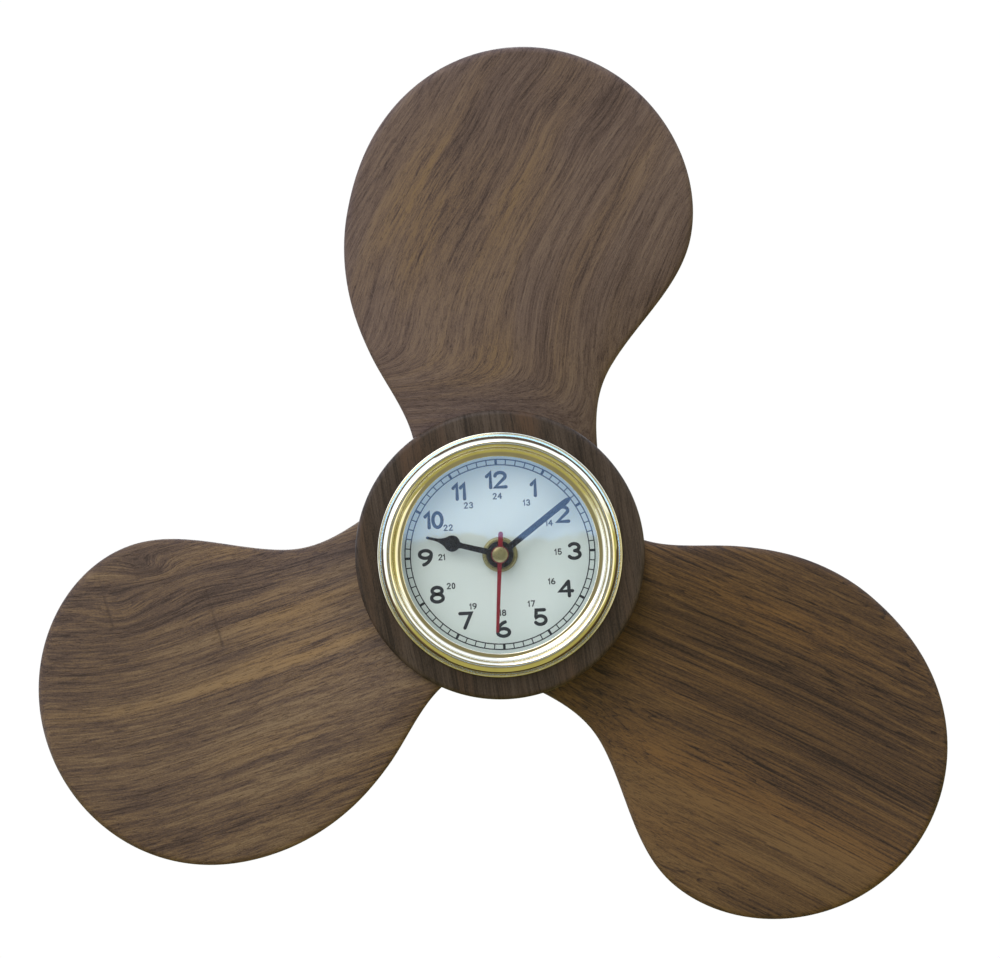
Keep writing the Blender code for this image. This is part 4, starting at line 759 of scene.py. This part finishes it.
def rightLines(x, z):
    # a dark and a light zone along the grain, and two golden ones, as humps across it
    centre = z + 0.45 * x
    return (0.11 * hump(centre + 58, 24) - 0.08 * hump(centre + 13, 10),
            0.50 * hump(centre - 20, 7) * hump(x - 92, 34) + 0.25 * hump(centre + 40, 12))


def bladeFigure(name, lines):
    # shade and gold are what the blade's lines give plus a weighted bell for each patch
    def figureAt(x, z):
        sums = [sum(weight * bell(x, z, *place) for weight, *place in patches[name][key])
                for key in ("shade", "gold")]
        shade, gold = lines(x, z)
        return sums[0] + shade, sums[1] + gold, bladeEdge(name, x, z)
    return figureAt


figuresOf = {"blade_top": (topGrain, topLines), "blade_left": (leftGrain, leftLines),
             "blade_right": (rightGrain, rightLines)}
for bladeName, (bladeGrain, bladeLines) in figuresOf.items():
    setGrain(buildBlade(bladeName), bladeGrain, bladeFigure(bladeName, bladeLines))
print("blades made")


# hub, with the recess for its hanger
hubShape = {
    "bore": 38.6, "lip": 37.0, "lipDepth": 4.0, "frontRound": 1.7, "backRound": 0.5, "boreRound": 0.4,
    "lipRound": 0.3, "pocket": 3.6, "pocketGap": 0.3, "gap": 0.12,
}
hanger = {
    "z": 42.1, "height": 8.0, "spacing": 16.0, "thickness": 1.2,
    "keyholeZ": 41.0, "keyholeRadius": 2.3, "keyholeRise": 2.9, "slotWidth": 2.3,
    "sinkRadius": 2.15, "headHeight": 1.1, "headRadius": 1.85, "headTop": 1.7, "shank": 1.0, "tip": 0.5,
    "crossLength": 2.3, "crossWidth": 0.34, "crossDepth": 0.45, "crossTurn": 25,
}


def stadium(halfLength, radius, centreZ, steps=24):
    # two half circles joined by straight lines
    right = arcPoints(radius, -90, 90, steps, (halfLength, centreZ))
    return np.concatenate([right, arcPoints(radius, 90, 270, steps, (-halfLength, centreZ))])


def buildHub():
    # a ring with rounded edges and an inner lip at its back, turned; then the hanger's recess and its pocket, cut
    s, h = hubShape, hanger
    lipFront = hubBack - s["lipDepth"]
    profile = rounded([(hubRadius, hubFront, s["frontRound"]), (hubRadius, hubBack, s["backRound"]),
                       (s["lip"], hubBack, s["lipRound"]), (s["lip"], lipFront, 0), (s["bore"], lipFront, 0),
                       (s["bore"], hubFront, s["boreRound"])])
    hub = lathe("hub_fine", profile, "propeller", "hub_wood", ("hub",), sides=256)
    recess = stadium(h["spacing"] / 2, h["height"] / 2 + s["gap"], h["z"])
    cutBy(hub, recess, hubBack - h["thickness"] - s["gap"], hubBack + 1)
    half = h["keyholeRadius"] + s["pocketGap"]
    pocket = bar(-half, h["keyholeZ"] - half, half, h["keyholeZ"] + h["keyholeRise"] + h["slotWidth"])
    cutBy(hub, pocket, hubBack - h["thickness"] - s["pocket"], hubBack + 1)
    dressed(hub, "propeller", "hub_wood", sharp=40)
    # the hub's figure is lighter towards the top of its face: painted light, a sheen where light falls from above
    setGrain(hub, lambda x, z: (x * 0.98 + z * 0.17, z - 0.17 * x),
             lambda x, z: (0.10 * bell(x, z, 0, 48, 40, 16), 0 * x, 0 * x))


def buildHanger():
    # a stadium plate with a keyhole cut through it, and two turned screws with cross slots, sunk into it
    h = hanger
    plate = prisms("hanger_plate_fine", [(stadium(h["spacing"] / 2, h["height"] / 2, h["z"]),
                                          hubBack - h["thickness"], hubBack - 0.02)],
                   "propeller", "brass", ("hanger_plate",), agedBrass)
    keyhole = arcPoints(h["keyholeRadius"], 120, 420, 40, (0, h["keyholeZ"]))
    slot = arcPoints(h["slotWidth"] / 2, 0, 180, 16, (0, h["keyholeZ"] + h["keyholeRise"]))
    cutBy(plate, np.concatenate([keyhole, slot]), hubBack - 3, hubBack + 1)
    length, width = h["crossLength"] / 2, h["crossWidth"] / 2
    for side, node in ((-1, "hanger_screw_left"), (1, "hanger_screw_right")):
        at, _, bottom, top = boxOf(node)
        local = (side * h["spacing"] / 2, h["z"])
        cutBy(plate, arcPoints(h["sinkRadius"], 0, 360, 33, local)[:-1], top - h["thickness"], hubBack + 1)
        profile = [(0, bottom), (h["tip"], bottom + 1), (h["shank"], bottom + 2), (h["shank"], top - h["headHeight"]),
                   (h["headRadius"], top - 0.12), (h["headTop"], top), (0, top)]
        screw = lathe(node + "_fine", profile, "propeller", "steel", (node,), sides=48, centre=at)
        for turn in (h["crossTurn"], h["crossTurn"] + 90):
            cutBy(screw, turned(bar(-length, -width, length, width), turn) + local, top - h["crossDepth"], top + 1)
        dressed(screw, "propeller", "steel")
    dressed(plate, "propeller", "brass", (), agedBrass)


buildHub()
buildHanger()
print("hub and hanger made")


# bezel: a bead, a groove, a full roll and a cove down to the glass
bezelShape = {
    "lip": 40.8, "lipFront": -37.4, "lipBack": -36.04, "bead": 0.42, "beadFoot": 0.3, "beadRise": 0.45,
    "grooveDepth": -36.9, "rollOuter": 39.55, "rollFoot": -38.4, "crest": 37.15, "crestFront": -42.45,
    "rollInner": 35.75, "innerDepth": -41.35, "step": 35.5, "coveFront": -41.5, "sight": 32.8,
    "sightFront": -39.95, "sightBack": -39.4, "skirt": 37.6, "skirtBore": 36.2, "skirtBack": -25.0,
}


def buildBezel():
    # a turned profile: half an ellipse for the bead, two quarter ellipses for the roll and one for the cove
    b = bezelShape
    turn = np.linspace(0, math.pi, 13)
    beadMiddle = b["lip"] - b["bead"]

    def quarter(x, y, reachX, reachY, first=0):
        angle = np.linspace(0, math.pi / 2, 20)[first:]
        return np.stack([x + reachX * np.cos(angle), y + reachY * np.sin(angle)], -1)

    bead = np.stack([beadMiddle + b["bead"] * np.cos(turn),
                     b["lipFront"] + b["beadFoot"] - b["beadRise"] * np.sin(turn)], -1)
    outerRoll = quarter(b["crest"], b["rollFoot"], b["rollOuter"] - b["crest"], b["crestFront"] - b["rollFoot"])
    innerRoll = quarter(b["crest"], b["innerDepth"], b["rollInner"] - b["crest"],
                        b["crestFront"] - b["innerDepth"])[-2::-1]
    coveReach = b["step"] - b["sight"] - 0.25
    cove = quarter(b["step"] - coveReach, b["coveFront"], coveReach, b["sightFront"] - b["coveFront"], 2)
    groove = [(beadMiddle - b["bead"], b["grooveDepth"]), (b["rollOuter"] + 0.03, b["grooveDepth"])]
    step = [(b["rollInner"] - 0.05, b["innerDepth"] + 0.25), (b["step"] + 0.02, b["coveFront"] + 0.2)]
    edge = [(b["sight"] + 0.08, b["sightFront"] + 0.05), (b["sight"], b["sightFront"] + 0.18),
            (b["sight"], b["sightBack"])]
    skirt = [(b["skirtBore"], b["sightBack"]), (b["skirtBore"], b["skirtBack"]), (b["skirt"], b["skirtBack"]),
             (b["skirt"], b["lipBack"]), (b["lip"] - 0.15, b["lipBack"]), (b["lip"], b["lipBack"] - 0.15)]
    profile = np.concatenate([bead, groove, outerRoll, innerRoll, step, cove, edge, skirt])
    lathe("bezel_fine", profile.tolist(), "propeller", "brass", ("bezel",), sides=256, sharp=50)


def buildSpacer(wall=2.5):
    # a turned ring, rounded inside, coloured dark grey as painted shade
    _, outer, front, back = boxOf("spacer_ring")
    inner = outer - wall
    profile = rounded([(inner, front, 0.2), (outer, front, 0), (outer, back, 0), (inner, back, 0.2)], 3)
    lathe("spacer_ring_fine", profile, "propeller", "white_plastic", ("spacer_ring",), spacerShade)


buildBezel()
buildSpacer()
print("bezel made")


# dial print: strokes with round ends; each figure is one high and about 0.6 wide
strokes = {
    "0": [arcPoints(0.5, 90, 450, 49, squeeze=0.62)],
    "1": [[(-0.19, 0.26), (0.06, 0.5), (0.06, -0.5)]],
    "2": [np.concatenate([arcPoints(0.25, 172, -34, 26, (0.0, 0.25), 1.40), [(-0.36, -0.5), (0.38, -0.5)]])],
    "3": [arcPoints(0.24, 152, -84, 26, (-0.02, 0.26), 1.42), arcPoints(0.26, 84, -152, 30, (-0.02, -0.24), 1.5)],
    "4": [[(0.17, 0.5), (-0.44, -0.16), (0.42, -0.16)], [(0.17, 0.5), (0.20, -0.5)]],
    "5": [np.concatenate([[(0.30, 0.5), (-0.26, 0.5), (-0.30, 0.06)],
                          arcPoints(0.29, 136, -148, 34, (0.0, -0.2), 1.32)])],
    "6": [arcPoints(0.26, 180, 540, 45, (0.0, -0.24), 1.55), arcPoints(0.74, 180, 106, 26, (0.34, -0.24), 1.0)],
    "7": [[(-0.38, 0.5), (0.38, 0.5), (-0.08, -0.5)]],
    "8": [arcPoints(0.235, -90, 270, 41, (0.0, 0.265), 1.45), arcPoints(0.265, 90, 450, 45, (0.0, -0.235), 1.5)],
    "9": [arcPoints(0.26, 0, 360, 45, (0.0, 0.24), 1.55), arcPoints(0.74, 0, -74, 26, (-0.34, 0.24), 1.0)],
}
dialPrint = {
    "turn": 2.7,                 # degrees that the dial sits round to the left
    "hours": {"radius": 24.9, "height": 4.85, "stroke": 1.16, "pitch": 4.7, "width": 1.0},
    "smalls": {"radius": 19.5, "height": 1.75, "stroke": 0.40, "pitch": 1.72, "width": 0.78},
    "narrow": {"1": 0.52, "0": 0.82},                        # share of the pitch that these take
    "trackOuter": 31.75, "trackInner": 29.95, "line": 0.38, "tick": 0.36, "fiveTick": 0.85,
    "ink": 0.03, "foot": 0.004,  # the print's height, and its gap to the dial
}


def strokeOutline(path, halfWidth, capSteps=9):
    # a ribbon round a path: its points moved to both sides along mitred normals, with a half circle at each end
    path = np.asarray(path, float)
    run = np.diff(path, axis=0)
    run = run / np.linalg.norm(run, axis=1)[:, None]
    side = np.stack([-run[:, 1], run[:, 0]], -1)
    joined = np.concatenate([side[:1], side[:-1] + side[1:], side[-1:]])
    joined = joined / np.linalg.norm(joined, axis=1)[:, None]
    stretch = 1 / np.maximum(0.55, np.sum(joined * np.concatenate([side[:1], side]), axis=1))
    left = path + joined * halfWidth * stretch[:, None]
    right = path - joined * halfWidth * stretch[:, None]
    turn = np.linspace(math.pi / 2, -math.pi / 2, capSteps)[1:-1, None]
    endCap = path[-1] + halfWidth * (np.cos(turn) * run[-1] + np.sin(turn) * side[-1])
    startCap = path[0] - halfWidth * (np.cos(turn) * run[0] + np.sin(turn) * side[0])
    return np.concatenate([left, endCap, right[::-1], startCap])


def figures(text, hour, size, front):
    # the outlines of a number centred at an hour, turned with the dial; each stroke is a hair thicker than the last
    parts = []
    angle = math.radians(90 - 30 * hour)
    middle = np.array((math.cos(angle), math.sin(angle))) * size["radius"]
    widths = [dialPrint["narrow"].get(figure, 1.0) for figure in text]
    for place, figure in enumerate(text):
        centre = (sum(widths[:place]) + widths[place] / 2 - sum(widths) / 2) * size["pitch"]
        for number, path in enumerate(strokes[figure]):
            shape = np.asarray(path, float) * (size["height"] * size["width"], size["height"]) + (centre, 0)
            outline = turned(strokeOutline(shape, size["stroke"] / 2) + middle, dialPrint["turn"])
            parts.append((outline, front - dialPrint["ink"] * (1 + 0.15 * number), front - dialPrint["foot"]))
    return parts


def buildDialPrint():
    # raised outlines for the numbers and the sixty ticks, and two thin turned rings for the track
    p = dialPrint
    front = boxOf("dial")[2]
    parts = []
    for hour in range(1, 13):
        parts += figures(str(hour), hour, p["hours"], front)
        parts += figures(str(hour + 12), hour, p["smalls"], front)
    for minute in range(60):
        half = (p["tick"] if minute % 5 else p["fiveTick"]) / 2
        tick = bar(p["trackInner"], -half, p["trackOuter"], half)
        parts.append((turned(tick, p["turn"] + 6 * minute), front - p["ink"] * 1.4, front - p["foot"]))
    prisms("dial_print", parts, "propeller", "black_paint", (), dialInk, sharp=60)
    for name, radius in (("dial_track_outer", p["trackOuter"]), ("dial_track_inner", p["trackInner"])):
        profile = bar(radius - p["line"] / 2, front - p["ink"], radius + p["line"] / 2, front - p["foot"])
        lathe(name, profile, "propeller", "black_paint", (), dialInk)


buildDialPrint()
print("dial printed")


# hands and cap, nut and washer at the dial's centre
hands = {                        # degrees clockwise, body, slot, and the collar's radius, hole and height
    "hour_hand": (283.0, "hours", "black_paint", (4.5, 2.8, 1.1)),
    "minute_hand": (51.0, "minutes", "black_paint", (3.0, 2.05, 0.8)),
    "second_hand": (181.8, "seconds", "red_paint", (2.9, 0.75, 0.65)),
}
handShape = {
    "thickness": 0.45, "edge": 0.10, "collarRound": 0.12,
    "hourRoot": [(1.0, 0.5), (1.0, 6.0), (0.90, 13.0)], "bulb": 2.72, "bulbAt": 16.4, "bulbArc": (-70, 48),
    "leafEnd": (0.50, 22.6), "hourPoint": [(0.44, 25.0), (0.2, 25.3), (0, 25.3)],
    "minute": [(1.05, 0.5), (1.05, 27.4), (0.9, 28.8), (0.3, 30.3), (0, 30.4)],
    "tail": 0.8, "tailAt": -6.9, "second": [(0.76, 0), (0.50, 25.8), (0, 26.0)],
}
capShape = {"crown": 0.28, "arc": 1.2, "crownShare": 0.94, "rim": 0.45}
nutShape = {"bore": 4.2, "flutes": 48, "fluteDepth": 0.018, "fluteReach": 0.4}


def leafSide(first, second, count):
    # from the bulb to the point: the half width falls as (1 - share) ^ 2.2
    share = np.linspace(0, 1, count)
    fall = (1 - share) ** 2.2
    return np.stack([second[0] + (first[0] - second[0]) * fall, first[1] + (second[1] - first[1]) * share], -1)


def buildHand(node, side):
    # a thin bevelled sheet, its side mirrored about its middle, and a turned collar with a pipe hole in front of it
    degrees, body, slot, (radius, hole, rise) = hands[node]
    s = handShape
    back = boxOf(node)[3]
    side = np.asarray(side, float)
    outline = np.concatenate([side, (side * (-1, 1))[-2::-1]])
    prisms(node + "_fine", [(turned(outline, -degrees), back - s["thickness"], back)], body, slot, (node,),
           bevel=s["edge"])
    profile = rounded([(hole, back - rise, 0.05), (radius, back - rise, s["collarRound"]),
                       (radius, back - 0.03, 0.05), (hole, back - 0.03, 0.0)])
    lathe(node + "_collar", profile, body, slot, sides=96)


def buildHands():
    # the hour hand is a bar, an arc for its bulb and a leaf; the others are plain tapered bars
    s = handShape
    bulb = arcPoints(s["bulb"], *s["bulbArc"], 36, (0, s["bulbAt"]))
    leaf = leafSide(tuple(bulb[-1]), s["leafEnd"], 14)
    buildHand("hour_hand", np.concatenate([s["hourRoot"], bulb[1:], leaf[1:], s["hourPoint"]]))
    buildHand("minute_hand", s["minute"])
    buildHand("second_hand", np.concatenate([arcPoints(s["tail"], -90, 0, 8, (0, s["tailAt"])), s["second"]]))


def buildCap():
    # a turned cap whose crown is a circle's arc: radius by the sine, depth by one minus the cosine
    _, radius, front, back = boxOf("second_cap")
    c = capShape
    angle = np.linspace(0, c["arc"], 10)
    reach = radius / math.sin(c["arc"]) * c["crownShare"]
    fall = c["crown"] * (1 - np.cos(angle)) / (1 - math.cos(c["arc"]))
    crown = np.stack([np.sin(angle) * reach, front + fall], -1).tolist()
    profile = crown + [(radius, front + c["rim"]), (radius, back), (0, back)]
    lathe("second_cap_fine", profile, "seconds", "brass", ("second_cap",), agedBrass, 96)


def buildNut():
    # a turned washer, and a round nut with fine flutes
    n = nutShape
    _, radius, front, back = boxOf("dial_washer")
    profile = rounded([(n["bore"], front, 0), (radius, front, 0.15), (radius, back, 0.1), (n["bore"], back, 0)])
    lathe("dial_washer_fine", profile, "propeller", "brass", ("dial_washer",), agedBrass, 96)
    _, radius, front, back = boxOf("dial_nut")
    profile = rounded([(n["bore"], front, 0.2), (radius, front, 0.35), (radius, back, 0.2), (n["bore"], back, 0)])
    fluted("dial_nut_fine", profile, "propeller", "brass", ("dial_nut",), agedBrass, (axisX, axisZ),
           (n["flutes"], n["fluteDepth"], 1, radius - n["fluteReach"]), True)


buildHands()
buildCap()
buildNut()
print("hands made")


# back of the movement
def refined(node, body, slot, width=0.25, sharp=30):
    # a copy of a CAD node, merged, its flat faces made whole and its edges rounded
    source = nodes[node].data.copy()
    work = bmesh.new()
    work.from_mesh(source)
    bmesh.ops.remove_doubles(work, verts=work.verts, dist=1e-6)
    bmesh.ops.dissolve_limit(work, angle_limit=math.radians(1), verts=work.verts, edges=work.edges)
    work.to_mesh(source)
    work.free()
    obj = dressed(linked(node + "_fine", source), body, slot, (node,), sharp=sharp)
    rounding = bevelled(obj, width, 2, sharp)
    rounding.use_clamp_overlap = True
    rounding.harden_normals = True


refined("movement_case", "propeller", "black_plastic")
refined("movement_lid", "propeller", "black_plastic", 0.2)

lidMarks = {
    "inset": 1.6, "ridge": 0.5, "rise": 0.3, "foot": 0.05, "ringInner": 6.3, "ringOuter": 6.9,
    "arrowRadius": 9.2, "arrowFrom": 205.0, "arrowTo": 250.0, "arrowWidth": 0.45, "arrowRise": 0.15,
    "arrowHead": 0.8, "arrowPoint": 8.0,
}


def buildLidMarks():
    # moulded ridge round the lid, a ring round the knob and a raised arrow that shows which way it turns
    m = lidMarks
    low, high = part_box("movement_lid")
    left, right = (low.x - axisX) / mm + m["inset"], (high.x - axisX) / mm - m["inset"]
    bottom, top = (low.z - axisZ) / mm + m["inset"], (high.z - axisZ) / mm - m["inset"]
    back, ridge = high.y / mm, m["ridge"]
    foot = back - m["foot"]
    inner = (bottom + ridge + 0.02, top - ridge - 0.02)
    bars = [bar(left, bottom, right, bottom + ridge), bar(left, top - ridge, right, top),
            bar(left, inner[0], left + ridge, inner[1]), bar(right - ridge, inner[0], right, inner[1])]
    at = boxOf("setting_knob")[0]
    centre = ((at[0] - axisX) / mm, (at[1] - axisZ) / mm)
    arrow = arcPoints(m["arrowRadius"], m["arrowFrom"], m["arrowTo"], 20, centre)

    def onArc(offset, degrees):
        return arcPoints(m["arrowRadius"] + offset, degrees, degrees, 1, centre)[0]

    head = [onArc(0, m["arrowTo"] + m["arrowPoint"]), onArc(m["arrowHead"], m["arrowTo"]),
            onArc(-m["arrowHead"], m["arrowTo"])]
    parts = [(outline, foot, back + m["rise"]) for outline in bars]
    parts += [(strokeOutline(arrow, m["arrowWidth"] / 2), foot, back + m["arrowRise"]),
              (head, foot, back + m["arrowRise"] + 0.01)]
    prisms("lid_ridges", parts, "propeller", "black_plastic", bevel=0.08)
    profile = rounded([(m["ringInner"], foot, 0), (m["ringOuter"], foot, 0),
                       (m["ringOuter"], back + m["rise"], 0.1), (m["ringInner"], back + m["rise"], 0.1)], 3)
    lathe("lid_ring", profile, "propeller", "black_plastic", sides=96, centre=at)


knobShape = {
    "height": 2.0, "stem": 1.2, "dishRim": 0.62, "dishRadius": 0.55, "dishDepth": 0.35,
    "flutes": 24, "fluteDepth": 0.06, "fluteReach": 0.8,
}


def buildKnob():
    # a turned knob with a dished top, fluted round its rim
    k = knobShape
    at, radius, bottom, back = boxOf("setting_knob")
    front, dish = back - k["height"], back - k["dishDepth"]
    profile = [(0, bottom), (k["stem"], bottom)]
    profile += rounded([(k["stem"], front, 0), (radius, front, 0.25), (radius, back, 0.5),
                        (radius * k["dishRim"], back, 0.3), (radius * k["dishRadius"], dish, 0.2)], 4)
    fluted("setting_knob_fine", profile + [(0, dish)], "setting", "white_plastic", ("setting_knob",), None, at,
           (k["flutes"], k["fluteDepth"], 2, radius - k["fluteReach"]), False)


batteryShape = {
    "capHeight": 1.3, "capRadius": 2.75, "rimWidth": 0.9, "rimRound": 0.55, "dishWidth": 1.6, "dishDepth": 0.25,
    "shoulderWidth": 1.7, "shoulderDepth": 0.15,
}


def buildBattery(sides=128):
    # a profile (radius, length) carried round the battery's own axis along x: y = r cos a, z = r sin a
    b = batteryShape
    low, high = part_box("battery")
    radius = (high.z - low.z) / 2 / mm
    start, tip = low.x / mm, high.x / mm
    end = tip - b["capHeight"]
    dish, shoulder, rim = start + b["dishDepth"], end - b["shoulderDepth"], radius - b["rimWidth"]
    profile = np.array([(0, dish), *rounded(
        [(radius - b["dishWidth"], dish, 0.1), (rim, start, 0.25), (radius, start, b["rimRound"]),
         (radius, end, b["rimRound"]), (rim, end, 0.25), (radius - b["shoulderWidth"], shoulder, 0.1),
         (b["capRadius"], shoulder, 0.15), (b["capRadius"], tip, 0.3)]), (0, tip)])
    angle = circle(sides)
    reach, along = profile[:, :1] * mm, profile[:, 1:] * mm
    points = np.stack([along + 0 * angle, (low.y + high.y) / 2 + reach * np.cos(angle),
                       (low.z + high.z) / 2 + reach * np.sin(angle)], -1)
    piece("battery_fine", points, gridFaces(len(profile), sides), "battery", "battery_jacket", ("battery",))


buildLidMarks()
buildKnob()
buildBattery()
print("movement made")

# what is left of the CAD keeps its shape and takes its slot's finish
slotOf = {part["node"]: part["material_slot"] for part in frame["record"]["subparts"]}
for nodeName, node in nodes.items():
    node.data.materials.clear()
    node.data.materials.append(materials.get(slotOf[nodeName]) or materials["hub_wood"])
print("CAD nodes dressed")
